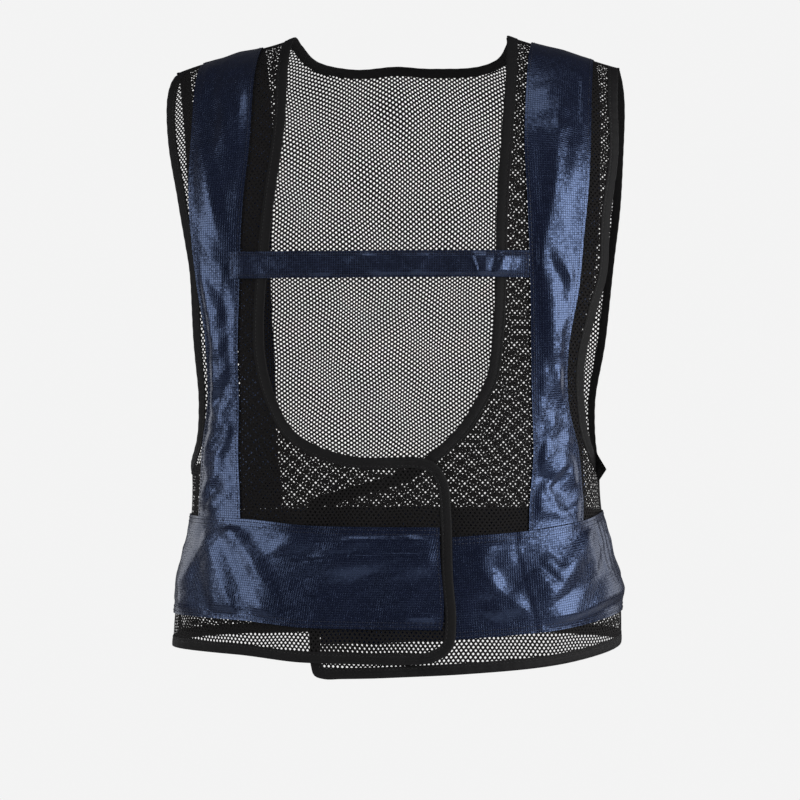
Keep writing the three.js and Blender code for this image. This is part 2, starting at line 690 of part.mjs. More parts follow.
// The back panel: its net, and the tape on its neckline and hem.
function backPanel() {
  const halfNeck = (side, width) => BACK_NECK.map(({ out, drop }) => {
    const { turn, run } = placeAt(out * width * NECK_HALF_WIDTH, top - drop * BACK_NECK_DROP, true);
    const place = out === 0 ? Math.PI : turn;
    return { turn: side > 0 ? place : 2 * Math.PI - place, run };
  });
  const leftNeck = halfNeck(1, LEFT_NECK[0].out);
  const rightNeck = halfNeck(-1, -RIGHT_NECK[0].out).reverse().slice(1);
  const neck = stepAlong(trace([...leftNeck, ...rightNeck]), stretchShares([0, 1], [BACK_NECK_STEPS]));
  const columns = BACK_NECK_STEPS + 2 * BACK_SHOULDER_STEPS;
  const seam = Math.PI - sideEdge;
  const hem = straight({ turn: seam, run: 0 }, { turn: 2 * Math.PI - seam, run: 0 }, columns)
    .map(({ turn }) => ({
      turn,
      run: backHemLine(turn / RADIANS),
      heading: new THREE.Vector2(1, 0),
    }));

  const netInset = TAPE_WIDTH + GAP;
  const aroundBack = ({ turn, run }) => ({ turn: turn < 0 ? turn + 2 * Math.PI : turn, run });
  const bottom = shiftPath(hem, netInset);
  const sideOf = (side, seamTurn, corner) => {
    const edge = shiftPath(backArmholePath(side), side * netInset).map(aroundBack);
    edge[0].run = shoulderEdge;
    edge[edge.length - 1].turn = seamTurn;
    return [...edge, ...straight(edge[edge.length - 1], corner, FREE_EDGE_STEPS).slice(1)];
  };
  const left = sideOf(1, seam, bottom[0]);
  const right = sideOf(-1, 2 * Math.PI - seam, bottom[columns]);
  const neckEdge = shiftPath(neck, -netInset);
  neckEdge[0].run = shoulderEdge;
  neckEdge[BACK_NECK_STEPS].run = shoulderEdge;
  const topRow = [
    ...straight(left[0], neckEdge[0], BACK_SHOULDER_STEPS).slice(0, -1),
    ...neckEdge,
    ...straight(neckEdge[BACK_NECK_STEPS], right[0], BACK_SHOULDER_STEPS).slice(1),
  ];
  const netLift = layer(0, NET_THICKNESS);
  const net = clothWall('net_back', fillPatch(left, right, topRow, bottom), netLift, finishes.net);

  const tapeLift = layer(-TAPE_BELOW, TAPE_ABOVE);
  const neckInner = shiftPath(neck, -TAPE_WIDTH);
  const neckGrid = neck.map(({ turn, run }, step) => [{ turn, run }, neckInner[step]]);
  [neckGrid[0], neckGrid[BACK_NECK_STEPS]].flat().forEach((place) => {
    place.run = shoulderEdge;
  });
  const hemInner = shiftPath(hem, TAPE_WIDTH);
  const hemGrid = hem.map(({ turn, run }, step) => [{ turn, run }, hemInner[step]]);
  return [
    net,
    clothWall('neck_binding_back', neckGrid, tapeLift, finishes.tape),
    clothWall('hem_binding_back', hemGrid, tapeLift, finishes.tape),
  ];
}

function buildVest() {
  const right = frontPanel('right', -1, RIGHT_NECK, RIGHT_FREE_EDGE, RIGHT_HEM, RIGHT_ARMHOLE, lapHeight);
  const left = frontPanel('left', 1, LEFT_NECK, LEFT_FREE_EDGE, LEFT_HEM, LEFT_ARMHOLE, flatHeight);
  const rightHem = (turn) => hemAt(RIGHT_HEM, turn);
  const leftHem = (turn) => hemAt(LEFT_HEM, turn);
  const behindHem = (turn) => backHemLine(180 - turn);
  const backStart = Math.PI - sideEdge;
  const vest = new THREE.Group();
  vest.add(
    right.net,
    left.net,
    right.tape,
    left.tape,
    ...backPanel(),
    armholeBinding('right', -1, right.arm, backArmholePath(-1)),
    armholeBinding('left', 1, left.arm, backArmholePath(1)),
    shoulderDuct('right', -1, rightHem, behindHem),
    shoulderDuct('left', 1, leftHem, behindHem),
    waistBand(
      'waist_band_right',
      () => -sideEdge,
      bandFrontEnd(RIGHT_FREE_EDGE, -1),
      rightHem,
      RIGHT_BAND_FOLDS,
      lapHeight,
    ),
    waistBand('waist_band_left', bandFrontEnd(LEFT_FREE_EDGE, 1), () => sideEdge, leftHem, LEFT_BAND_FOLDS),
    waistBand('waist_band_back', () => backStart, () => 2 * Math.PI - backStart, backHemLine, BACK_BAND_FOLDS),
    chestStrap(),
  );
  return vest;
}

export default buildVest();
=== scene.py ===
# %% [markdown]
# A cooling vest, held up as shoulders hold it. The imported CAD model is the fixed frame: it says
# where each piece is and how large. Here every piece gets the surface that the eye sees. The net
# gets its holes, the tape its fold, the nylon its creases, and the seams their stitches.
#
# The work is in millimetres, as on a pattern cutter's table, and becomes metres in the meshes.

import bpy
import numpy as np
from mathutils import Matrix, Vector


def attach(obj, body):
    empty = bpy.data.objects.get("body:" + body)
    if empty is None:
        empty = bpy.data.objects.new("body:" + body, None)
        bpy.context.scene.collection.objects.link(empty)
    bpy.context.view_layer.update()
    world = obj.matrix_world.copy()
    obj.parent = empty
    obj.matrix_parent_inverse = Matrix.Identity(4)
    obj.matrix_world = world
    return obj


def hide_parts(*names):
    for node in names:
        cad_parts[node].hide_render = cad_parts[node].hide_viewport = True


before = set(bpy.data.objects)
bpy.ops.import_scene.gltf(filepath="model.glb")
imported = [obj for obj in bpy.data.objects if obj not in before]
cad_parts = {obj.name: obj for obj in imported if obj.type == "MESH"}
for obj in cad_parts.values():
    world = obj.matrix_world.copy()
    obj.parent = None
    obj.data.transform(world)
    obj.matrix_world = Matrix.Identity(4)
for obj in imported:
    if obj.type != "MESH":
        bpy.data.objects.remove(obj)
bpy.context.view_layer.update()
MM = 0.001
print("nodes", sorted(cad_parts))

# %% [markdown]
# The vest hangs on one smooth form, a rounded box in plan that leans in over the shoulders. A
# place on the cloth has two numbers. The turn is the angle round the body, 0 at the front centre
# and 90 degrees at the wearer's left. The run is the height in mm, measured up the cloth from the
# chest line. All pieces lie on this form, so they fit each other from every side.

# %% Sizes of the worn form and of the cut
DROP = 575
CHEST_DROP = 190
SHOULDER_RUN = 230
NECK_RISE = 10
SHOULDER_SLOPE = 0.29
SLOPE_ROUNDING = 30
CHEST_HALF_WIDTH = 224
FRONT_DEPTH = 112
BACK_DEPTH = 118
SQUARENESS = 2.5
NECK_HALF_WIDTH = 100
LAP = 62
HEM_SWEEP = 25
DUCT_SETBACK = 31
DUCT_WIDTH = 58
BAND_HEIGHT = 90
BAND_RISE = 31
STRAP_HEIGHT = 24
STRAP_DROP = 4
STRAP_END_ON_DUCT = 8
TAPE_WIDTH = 10
BACK_NECK_DROP = 90
ARMHOLE_BOTTOM = 198
SIDE = np.pi / 2
HEM_RUN = -(DROP - CHEST_DROP)
CLOTH_RADIUS = 150


def table(columns, *rows):
    """A table with named columns, one array for each."""
    return dict(zip(columns.split(), np.array(rows, float).T))


FORM = table(
    "level width front back",
    (-1.0, 0.933, 1.161, 1.051),
    (-0.8, 0.906, 1.134, 1.017),
    (-0.65, 0.853, 1.098, 0.966),
    (-0.52, 0.835, 1.071, 0.949),
    (-0.36, 0.875, 1.054, 0.966),
    (-0.18, 0.946, 1.036, 1.0),
    (0.0, 1.0, 1.0, 1.0),
    (0.4, 1.018, 0.964, 0.966),
    (1.0, 1.018, 0.929, 0.881),
)

# %% Read a table smoothly


def cubic(t, start, leave, reach, end):
    """Hermite cubic from t = 0 to 1 between two values: it leaves the first and reaches the second
    with the given slopes."""
    first = (2 * t**3 - 3 * t**2 + 1) * start + (t**3 - 2 * t**2 + t) * leave
    return first + (3 * t**2 - 2 * t**3) * end + (t**3 - t**2) * reach


def read(rows, key_column, column, key):
    """Cubic curve through a table: each row's slope is that between its two neighbours."""
    order = np.argsort(rows[key_column])
    x, y = rows[key_column][order], rows[column][order]
    index = np.arange(len(x))
    before, after = np.maximum(index - 1, 0), np.minimum(index + 1, len(x) - 1)
    slope = (y[after] - y[before]) / (x[after] - x[before])
    key = np.clip(key, x[0], x[-1])
    low = np.clip(np.searchsorted(x, key, side="right") - 1, 0, len(x) - 2)
    span = x[low + 1] - x[low]
    return cubic((key - x[low]) / span, y[low], span * slope[low], span * slope[low + 1], y[low + 1])


def smooth_step(value, low, high):
    """0 below low, 1 above high and a cubic between."""
    t = np.clip((value - low) / (high - low), 0, 1)
    return t * t * (3 - 2 * t)


def run_at_level(level):
    return np.where(level < 0, level * -HEM_RUN, level * SHOULDER_RUN)


def level_at_run(run):
    return np.where(run < 0, run / -HEM_RUN, run / SHOULDER_RUN)


# %% The form as a surface


def form_sizes(run, at_back):
    """Half width and depth of the form at a run."""
    level = level_at_run(run)
    front = FRONT_DEPTH * read(FORM, "level", "front", level)
    back = BACK_DEPTH * read(FORM, "level", "back", level)
    return CHEST_HALF_WIDTH * read(FORM, "level", "width", level), np.where(at_back, back, front)


def shoulder_line(x):
    return NECK_RISE - SHOULDER_SLOPE * (np.hypot(x, SLOPE_ROUNDING) - NECK_HALF_WIDTH)


def form_point(turn, run):
    """Superellipse of half width and depth at each run, upright below the chest line. Above it the
    depth shrinks with the cosine, and the height grows with the sine, of a quarter turn."""
    turn, run = np.broadcast_arrays(turn, run)
    width, depth = form_sizes(run, np.abs(turn) > SIDE)
    reach = (
        np.abs(np.sin(turn) / width) ** SQUARENESS + np.abs(np.cos(turn) / depth) ** SQUARENESS
    ) ** (-1 / SQUARENESS)
    x = reach * np.sin(turn)
    lean = np.maximum(run, 0) / SHOULDER_RUN * SIDE
    y = -reach * np.cos(turn) * np.cos(lean)
    rise = np.where(run < 0, run, (shoulder_line(x) + CHEST_DROP) * np.sin(lean))
    return np.stack([x, y, rise - CHEST_DROP], -1)


def slopes(turn, run):
    """How the surface runs round and up, by differences, and the unit way outwards."""
    round_way = (form_point(turn + 1e-3, run) - form_point(turn - 1e-3, run)) / 2e-3
    level = np.minimum(run, SHOULDER_RUN - 1)
    up_way = form_point(turn, level + 0.5) - form_point(turn, level - 0.5)
    outward = np.cross(round_way, up_way)
    outward /= np.linalg.norm(outward, axis=-1, keepdims=True)
    return round_way, up_way, outward


def place_at(x, run, at_back=False):
    """The turn of the place at a distance out from the centre plane."""
    width, depth = form_sizes(run, at_back)
    share = np.minimum(np.abs(x) / width, 1)
    turn = np.arctan2(x, depth * (1 - share**SQUARENESS) ** (1 / SQUARENESS))
    return np.sign(x) * np.pi - turn if at_back else turn


def beside(turn, run, heading, distance):
    """The place a distance to the left of a heading, both measured on the cloth: the step across
    is resolved into its turn and its run."""
    round_way, up_way, outward = slopes(turn, run)
    along = round_way * heading[..., :1] + up_way * heading[..., 1:]
    across = np.cross(outward, along)
    across *= np.expand_dims(distance, -1) / np.linalg.norm(across, axis=-1, keepdims=True)
    a = np.sum(round_way * round_way, -1)
    b = np.sum(round_way * up_way, -1)
    c = np.sum(up_way * up_way, -1)
    p = np.sum(across * round_way, -1)
    q = np.sum(across * up_way, -1)
    scale = a * c - b * b
    return turn + (c * p - b * q) / scale, run + (a * q - b * p) / scale


# %% Smooth paths through places


def trace(places, samples=24):
    """Centripetal Catmull-Rom curve: between two places a cubic whose end slopes come from the
    neighbours, with knots spaced by the root of the distance."""
    points = np.array(places, float) * [CLOTH_RADIUS, 1]
    points = np.vstack([2 * points[0] - points[1], points, 2 * points[-1] - points[-2]])
    knots = np.sqrt(np.linalg.norm(np.diff(points, axis=0), axis=1))[:, None]
    before, gap, after = knots[:-2], knots[1:-1], knots[2:]
    p0, p1, p2, p3 = points[:-3], points[1:-2], points[2:-1], points[3:]
    leave = ((p1 - p0) / before - (p2 - p0) / (before + gap) + (p2 - p1) / gap) * gap
    reach = ((p2 - p1) / gap - (p3 - p1) / (gap + after) + (p3 - p2) / after) * gap
    t = (np.arange(samples) / samples)[None, :, None]
    curve = cubic(t, p1[:, None], leave[:, None], reach[:, None], p2[:, None])
    return np.vstack([curve.reshape(-1, 2), points[-2]]) / [CLOTH_RADIUS, 1]


def path_length(points, axis=0):
    """Length along a line of points up to each of them. In a grid every row or column is a line."""
    steps = np.linalg.norm(np.diff(points, axis=axis), axis=-1)
    return np.insert(np.cumsum(steps, axis=axis), 0, 0, axis=axis)


def read_along(stops, length, points):
    """The points of a line read at given lengths along it."""
    return np.stack([np.interp(stops, length, column) for column in points.T], -1)


def pace(curve, step, closed=False):
    """The path again, in equal steps measured on the cloth, with its heading at each place."""
    if closed:
        curve = np.vstack([curve, curve[:1]])
    length = path_length(form_point(curve[:, 0], curve[:, 1]))
    count = max(int(round(length[-1] / step)), 2)
    stops = np.linspace(0, length[-1], count + 1)
    places = read_along(stops, length, curve)
    if closed:
        places, stops = places[:-1], stops[:-1]
        heading = np.roll(places, -1, axis=0) - np.roll(places, 1, axis=0)
    else:
        heading = np.gradient(places, axis=0)
    return places[:, 0], places[:, 1], heading, stops


def strip(curve, step, offsets, side=1.0, closed=False):
    """Rows of places beside a path, at the given distances to its left, or with a side of -1 to its
    right, and the length along the path at each row."""
    turn, run, heading, stops = pace(curve, step, closed)
    per_turn, per_run = beside(turn, run, heading, np.full(turn.shape, side))
    wide_turn = turn[:, None] + (per_turn - turn)[:, None] * offsets
    return wide_turn, run[:, None] + (per_run - run)[:, None] * offsets, stops


# %% [markdown]
# The two fronts aren't mirror images. The right one laps over the left one, so each has its own
# neckline, free edge and hem, as short tables of places.

# %% Tables of the cut
RIGHT_NECK = table(
    "out level",
    (-0.94, 1.0), (-0.93, 0.6), (-0.93, 0.37), (-0.98, 0.18), (-1.03, 0.0), (-1.07, -0.17),
    (-1.05, -0.27), (-0.97, -0.35), (-0.81, -0.42), (-0.56, -0.463), (-0.22, -0.487), (0.1, -0.488),
)
RIGHT_FREE_EDGE = table(
    "out level",
    (0.52, -0.488), (0.76, -0.5), (0.94, -0.54), (1.0, -0.62),
    (1.03, -0.76), (1.08, -0.87), (1.02, -0.928), (0.78, -0.956),
)
LEFT_NECK = table(
    "out level",
    (1.02, 1.0), (1.06, 0.6), (1.04, 0.33), (1.01, 0.12), (1.0, -0.07), (0.98, -0.2),
    (0.93, -0.3), (0.82, -0.36), (0.67, -0.42), (0.41, -0.483), (0.18, -0.52), (-0.18, -0.55),
)
LEFT_FREE_EDGE = table(
    "out level",
    (-0.72, -0.57), (-1.0, -0.586), (-1.1, -0.63), (-1.08, -0.76),
    (-1.02, -0.92), (-1.0, -0.968), (-0.95, -0.991), (-0.8, -0.999),
)
RIGHT_HEM = table("turn rise", (-90, 0.84), (-50, 0.8), (-28, 0.6), (30, 0.56))
LEFT_HEM = table("turn rise", (-25, 0.0), (0, 0.08), (31, 0.24), (56, 0.48), (80, 0.92), (90, 1.0))
RIGHT_ARMHOLE = table(
    "turn level depth",
    (-74.5, 1.0, 0), (-75.5, 0.6, 0), (-74.0, 0.4, 0), (-69.5, 0.16, 0), (-66.8, 0, 0.06),
    (-66.6, 0, 0.25), (-67.3, 0, 0.52), (-69.0, 0, 0.72), (-73.0, 0, 0.89), (-80.5, 0, 0.98),
    (-90.0, 0, 1.0),
)
LEFT_ARMHOLE = table(
    "turn level depth",
    (74.5, 1.0, 0), (74.0, 0.6, 0), (74.0, 0.35, 0), (72.0, 0.1, 0), (71.8, 0, 0.12),
    (69.6, 0, 0.3), (68.4, 0, 0.5), (70.0, 0, 0.68), (73.5, 0, 0.86), (80.5, 0, 0.965),
    (90.0, 0, 1.0),
)
BACK_ARMHOLE = table(
    "turn level depth",
    (105.5, 1.0, 0), (105.5, 0.6, 0), (107.0, 0.2, 0), (109.0, 0, 0.1),
    (109.0, 0, 0.45), (106.5, 0, 0.75), (99.5, 0, 0.96), (90.0, 0, 1.0),
)
BACK_NECK = table("out drop", (1.0, 0.0), (0.98, 0.35), (0.86, 0.72), (0.55, 0.93), (0.0, 1.0))
DUCT = table(
    "level line width",
    (1.0, 0.96, 1.0), (0.55, 0.95, 1.03), (0.3, 0.95, 1.03), (0.1, 0.98, 0.93), (-0.1, 1.0, 0.78),
    (-0.26, 1.0, 0.6), (-0.4, 1.0, 0.64), (-0.52, 1.01, 0.84), (-0.64, 1.0, 1.02),
)
CORNER_TURN = 6
HEM_STEPS = 60

# %% Outlines of the panels


def hem_at(rows, turn):
    """Run of a front's hem at a turn in radians."""
    return HEM_RUN + HEM_SWEEP * read(rows, "turn", "rise", np.degrees(turn))


def back_hem_at(turn):
    """The back's hem runs straight from the left side's height to the right side's."""
    share = (np.degrees(turn) - 90) / 180
    left, right = LEFT_HEM["rise"][-1], RIGHT_HEM["rise"][0]
    return HEM_RUN + HEM_SWEEP * (left + (right - left) * share)


def front_outline(side, neck, free_edge, hem):
    """The taped edge of a front from the shoulder to the side seam, and the armhole's edge."""
    neck_run, free_run = run_at_level(neck["level"]), run_at_level(free_edge["level"])
    neck_places = np.stack([place_at(neck["out"] * NECK_HALF_WIDTH, neck_run), neck_run], -1)
    free_places = np.stack([place_at(free_edge["out"] * LAP, free_run), free_run], -1)
    corner = free_places[-1, 0] + side * np.radians(CORNER_TURN)
    opening = trace([*neck_places, *free_places, (corner, float(hem_at(hem, corner)))])
    hem_turn = np.linspace(corner, side * SIDE, HEM_STEPS)[1:]
    return np.vstack([opening, np.stack([hem_turn, hem_at(hem, hem_turn)], -1)])


def armhole_path(rows, side=1):
    run = np.where(rows["level"] > 0, rows["level"] * SHOULDER_RUN, -rows["depth"] * ARMHOLE_BOTTOM)
    return trace(np.stack([side * np.radians(rows["turn"]), run], -1))


def back_neck_path():
    """The back's neckline from the left shoulder to the right one."""
    run = SHOULDER_RUN - BACK_NECK["drop"] * BACK_NECK_DROP

    def half(width):
        turn = place_at(BACK_NECK["out"] * width * NECK_HALF_WIDTH, run, at_back=True)
        return np.stack([np.where(BACK_NECK["out"] > 0, turn, np.pi), run], -1)

    left, right = half(LEFT_NECK["out"][0]), half(-RIGHT_NECK["out"][0])
    mirrored = [2 * np.pi, 0] + right[::-1][1:] * [-1, 1]
    return trace([*left, *mirrored])


EDGES = {
    "right": front_outline(-1, RIGHT_NECK, RIGHT_FREE_EDGE, RIGHT_HEM),
    "left": front_outline(1, LEFT_NECK, LEFT_FREE_EDGE, LEFT_HEM),
}
ARMS = {"right": armhole_path(RIGHT_ARMHOLE), "left": armhole_path(LEFT_ARMHOLE)}
BACK_ARMS = {"right": armhole_path(BACK_ARMHOLE, -1), "left": armhole_path(BACK_ARMHOLE)}
print("front edges", {name: len(edge) for name, edge in EDGES.items()})

# %% [markdown]
# The layers lie on each other as sewn: the net, then tape round its edges and nylon on top. The
# right front rides over the left one, so there all its layers are lifted together. Cloth that
# hangs also sways in and out a little, and all layers share that too.

# %% Heights of the layers
NET_LIFT = 0.5
NYLON_LIFT = 1.25
NYLON_MARGIN = 0.5
LAP_HEIGHT = 4.3
LAP_START, LAP_END = np.radians([-52, -32])
LAP_TOP, LAP_FULL = 0.33, 0.45
SWAY = 0.7
SWAY_WAVES = table(
    "round up phase",
    (5.0, 0.021, 0.3), (-9.0, 0.034, 1.9), (14.0, -0.027, 4.1), (2.0, 0.052, 2.2),
)


def lap_height(turn, run):
    """The step up of the right front onto the left one, smooth in the turn and in the level."""
    low = smooth_step(-level_at_run(run), LAP_TOP, LAP_FULL)
    return LAP_HEIGHT * smooth_step(turn, LAP_START, LAP_END) * low


def sway(turn, run):
    """A few slow sine waves that cross each other."""
    waves = zip(*SWAY_WAVES.values())
    return SWAY * sum(np.sin(around * turn + up * run + phase) for around, up, phase in waves)


def flat(*_):
    """The height of what isn't raised."""
    return 0


def cloth_point(turn, run, lift, raise_by=flat):
    """A point on the form, pushed out along its normal by the layer's height and the sway."""
    turn, run = np.broadcast_arrays(turn, run)
    outward = slopes(turn, run)[2]
    height = lift + raise_by(turn, run) + sway(turn, run)
    return form_point(turn, run) + outward * np.expand_dims(height, -1)


# %% Meshes from arrays
SHARP_ANGLE = np.radians(50)


def add_mesh(name, points, faces, uv):
    """A mesh object from points in mm, lists of faces of one size each, and uv in mm a point."""
    mesh = bpy.data.meshes.new(name)
    mesh.vertices.add(len(points))
    mesh.vertices.foreach_set("co", (points * MM).astype(np.float32).ravel())
    corners = np.concatenate([part.ravel() for part in faces])
    sizes = np.concatenate([np.full(len(part), part.shape[1]) for part in faces])
    mesh.loops.add(len(corners))
    mesh.loops.foreach_set("vertex_index", corners.astype(np.int32))
    mesh.polygons.add(len(sizes))
    starts = np.concatenate([[0], np.cumsum(sizes)[:-1]])
    mesh.polygons.foreach_set("loop_start", starts.astype(np.int32))
    mesh.update(calc_edges=True)
    layer = mesh.uv_layers.new(name="UVMap")
    layer.data.foreach_set("uv", uv[corners].astype(np.float32).ravel())
    mesh.polygons.foreach_set("use_smooth", np.ones(len(sizes), bool))
    mesh.set_sharp_from_angle(angle=SHARP_ANGLE)
    piece = bpy.data.objects.new(name, mesh)
    bpy.context.scene.collection.objects.link(piece)
    return piece


def quads(rows, columns, around=False, closed=False):
    """Index quads of a grid, joined across its rows' ends and its columns' ends on request."""
    r = np.arange(rows if closed else rows - 1)[:, None]
    c = np.arange(columns if around else columns - 1)[None, :]
    below, beyond = (r + 1) % rows, (c + 1) % columns
    corners = [r * columns + c, r * columns + beyond, below * columns + beyond, below * columns + c]
    return np.stack([np.broadcast_to(k, (r.size, c.size)) for k in corners], -1).reshape(-1, 4)


def outward_faces(points, faces):
    """Turns all faces of a closed mesh round if its signed volume is negative."""
    fans = [part[:, [0, k, k + 1]] for part in faces for k in range(1, part.shape[1] - 1)]
    a, b, c = points[np.concatenate(fans)].transpose(1, 0, 2)
    return faces if np.sum(a * np.cross(b, c)) > 0 else [part[:, ::-1] for part in faces]


def two_skins(name, outer, inner, uv):
    """A closed piece from two grids of points: both skins and a rim round them."""
    rows, columns = outer.shape[:2]
    size = rows * columns
    points = np.concatenate([outer.reshape(-1, 3), inner.reshape(-1, 3)])
    skin = quads(rows, columns)
    index = np.arange(size).reshape(rows, columns)
    loop = np.concatenate([index[0], index[1:, -1], index[-1, -2::-1], index[-2:0:-1, 0]])
    onward = np.roll(loop, -1)
    rim = np.stack([onward, loop, loop + size, onward + size], -1)
    faces = outward_faces(points, [skin, skin[:, ::-1] + size, rim])
    flat_uv = uv.reshape(-1, 2)
    return add_mesh(name, points, faces, np.concatenate([flat_uv, flat_uv]))


# %% [markdown]
# The net is a warp knit with holes in staggered rows. Each hole is a six-sided loop, and the
# strands are what is left between one hole and its six neighbours. So the net is built from the
# holes: a lattice of them is laid on the cloth, six corners each, and faces join the corners of
# neighbouring holes. It is cut to the outline by keeping only holes that lie inside it.

# %% The lattice of the net
HOLE_PITCH = 4.0
ROW_PITCH = 2.8
HOLE_ACROSS = 0.47
HOLE_UP = 0.55
NET_UNDER_TAPE = 7.0
SIDE_SPREAD = 0.25
REFERENCE_TURN = np.radians(50)
MAP_RUNS, MAP_TURNS, MAP_STEP = 900, 801, 2.0
STRETCH = 0.55
STRETCH_WAVES = table(
    "round up phase shift_round shift_up",
    (0.071, 0.034, 0.4, 1.0, 0.5), (-0.043, 0.082, 2.6, -0.6, 1.0),
    (0.118, -0.061, 4.4, 0.7, -0.7), (0.026, 0.131, 1.1, 0.9, 0.4),
)


def loop_corners():
    """Six corners of the cell of a staggered lattice, drawn in to leave the strands. They stand at
    equal distances from the three nearest holes."""
    half = HOLE_PITCH / 2
    tip = (half**2 + ROW_PITCH**2) / (2 * ROW_PITCH)
    side = (ROW_PITCH**2 - half**2) / (2 * ROW_PITCH)
    cell = [(0, tip), (half, side), (half, -side), (0, -tip), (-half, -side), (-half, side)]
    return np.array(cell) * [HOLE_ACROSS, HOLE_UP]


def cloth_map(centre):
    """Tables that turn distances on the cloth, round from a centre turn and up from the hem, into
    places: the run along one upright line, and the turn for each height and distance."""
    line = np.linspace(HEM_RUN - 2, SHOULDER_RUN, MAP_RUNS)
    height = path_length(form_point(centre + REFERENCE_TURN, line))
    rows = int(height[-1] / ROW_PITCH) + 2
    run = np.interp(np.arange(rows) * ROW_PITCH, height, line)
    spread = np.linspace(-SIDE - SIDE_SPREAD, SIDE + SIDE_SPREAD, MAP_TURNS)
    length = path_length(form_point(centre + spread[None, :], run[:, None]), axis=1)
    length -= length[:, [MAP_TURNS // 2]]
    reach = np.max(np.abs(length[:, [0, -1]]))
    stops = np.arange(-int(reach / MAP_STEP), int(reach / MAP_STEP) + 1) * MAP_STEP
    return run, stops, np.array([np.interp(stops, row, centre + spread) for row in length])


def place_on_map(cloth, across, up):
    """Straight-line reading of the tables of cloth_map between their rows and columns."""
    run, stops, turns = cloth
    row = np.clip(up / ROW_PITCH, 0, len(run) - 1.001)
    column = np.clip((across - stops[0]) / MAP_STEP, 0, len(stops) - 1.001)
    r, c = row.astype(int), column.astype(int)
    fr, fc = row - r, column - c
    lower, upper = [turns[k, c] * (1 - fc) + turns[k, c + 1] * fc for k in (r, r + 1)]
    return lower * (1 - fr) + upper * fr, run[r] * (1 - fr) + run[r + 1] * fr


def stretch(across, up):
    """Moves the holes a little by slow waves, because knit is never quite even."""
    moved_across, moved_up = across, up
    for around, rise, phase, shift_round, shift_up in zip(*STRETCH_WAVES.values()):
        wave = STRETCH * np.sin(around * across + rise * up + phase)
        moved_across = moved_across + shift_round * wave
        moved_up = moved_up + shift_up * wave
    return moved_across, moved_up


def inside(turn, run, outline):
    """Even-odd test: a place is inside if a level line from it crosses the outline an odd number
    of times."""
    hit = np.zeros(turn.shape, bool)
    for start, end in zip(outline, np.roll(outline, -1, axis=0)):
        crosses = (start[1] > run) != (end[1] > run)
        drop = np.where(end[1] == start[1], 1, end[1] - start[1])
        hit ^= crosses & (turn < (end[0] - start[0]) * (run - start[1]) / drop + start[0])
    return hit


def net_mesh(name, outline, centre, raise_by=flat, turned=False):
    """The net inside an outline. Faces: a four-sided strand to the right, upper right and upper
    left neighbour, and a triangle in each of the two gaps between three holes. A turned net is cut
    with its rows of holes upright."""
    cloth = cloth_map(centre)
    girth, tall = -2 * cloth[1][0], len(cloth[0]) * ROW_PITCH
    long_side, short_side = (tall, girth) if turned else (girth, tall)
    rows, columns = np.meshgrid(
        np.arange(int(short_side / ROW_PITCH)), np.arange(int(long_side / HOLE_PITCH)), indexing="ij"
    )
    centres = np.stack([(columns + 0.5 * (rows % 2)) * HOLE_PITCH, rows * ROW_PITCH], -1)
    corners = loop_corners()
    if turned:
        centres, corners = centres[..., ::-1], corners[:, ::-1]
    across, up = centres[..., 0] - girth / 2, centres[..., 1]
    keep = inside(*place_on_map(cloth, across, up), outline)
    number = np.full(keep.shape, -1)
    number[keep] = np.arange(keep.sum())
    u = across[keep][:, None] + corners[:, 0]
    v = up[keep][:, None] + corners[:, 1]
    turn, run = place_on_map(cloth, *stretch(u, v))
    points = cloth_point(turn, run, NET_LIFT, raise_by).reshape(-1, 3)

    def neighbour(row_step, column_step):
        r = np.clip(rows + row_step, 0, keep.shape[0] - 1)
        c = np.clip(columns + column_step, 0, keep.shape[1] - 1)
        return number[r, c]

    odd = rows % 2
    here, right = number, neighbour(0, 1)
    upper_right, upper_left = neighbour(1, odd), neighbour(1, odd - 1)

    def faces(*corner_of):
        index = [np.where(hole >= 0, hole * 6 + corner, -1).ravel() for hole, corner in corner_of]
        index = np.stack(index, -1)
        index = index[(index >= 0).all(axis=1)]
        return index[:, ::-1] if turned else index

    strands = [
        faces((here, 2), (right, 4), (right, 5), (here, 1)),
        faces((here, 1), (upper_right, 3), (upper_right, 4), (here, 0)),
        faces((here, 5), (here, 0), (upper_left, 2), (upper_left, 3)),
    ]
    joins = [
        faces((here, 1), (right, 5), (upper_right, 3)),
        faces((here, 0), (upper_right, 4), (upper_left, 2)),
    ]
    uv = np.stack([u, v], -1).reshape(-1, 2)
    piece = add_mesh(name, points, [np.concatenate(strands), np.concatenate(joins)], uv)
    cut = [float(np.ptp(side) + HOLE_PITCH) * MM for side in (u, v)]
    area = float(keep.sum() * HOLE_PITCH * ROW_PITCH) * MM * MM
    print(name, int(keep.sum()), "holes, cut", np.round(cut, 3), "area", round(area, 4))
    return {"piece": piece, "flat": cut, "area": area}


# %% Cut the three nets
NET_INSET = TAPE_WIDTH - NET_UNDER_TAPE
INSET_STEP = 6


def inset(curve, distance):
    """A path moved to its left by a distance on the cloth, or to its right by a negative one."""
    turn, run, _ = strip(curve, INSET_STEP, [distance])
    return np.hstack([turn, run])


def over_the_top(*turns):
    """Places just past the shoulder ridge, where a net's outline closes."""
    return [(turn, SHOULDER_RUN + 1) for turn in turns]


def front_net_outline(label, side):
    edge, arm = inset(EDGES[label], side * NET_INSET), inset(ARMS[label], -side * NET_INSET)
    edge[-1, 0] = arm[-1, 0] = side * SIDE
    return np.vstack([edge, arm[::-1], over_the_top(arm[0, 0], edge[0, 0])])


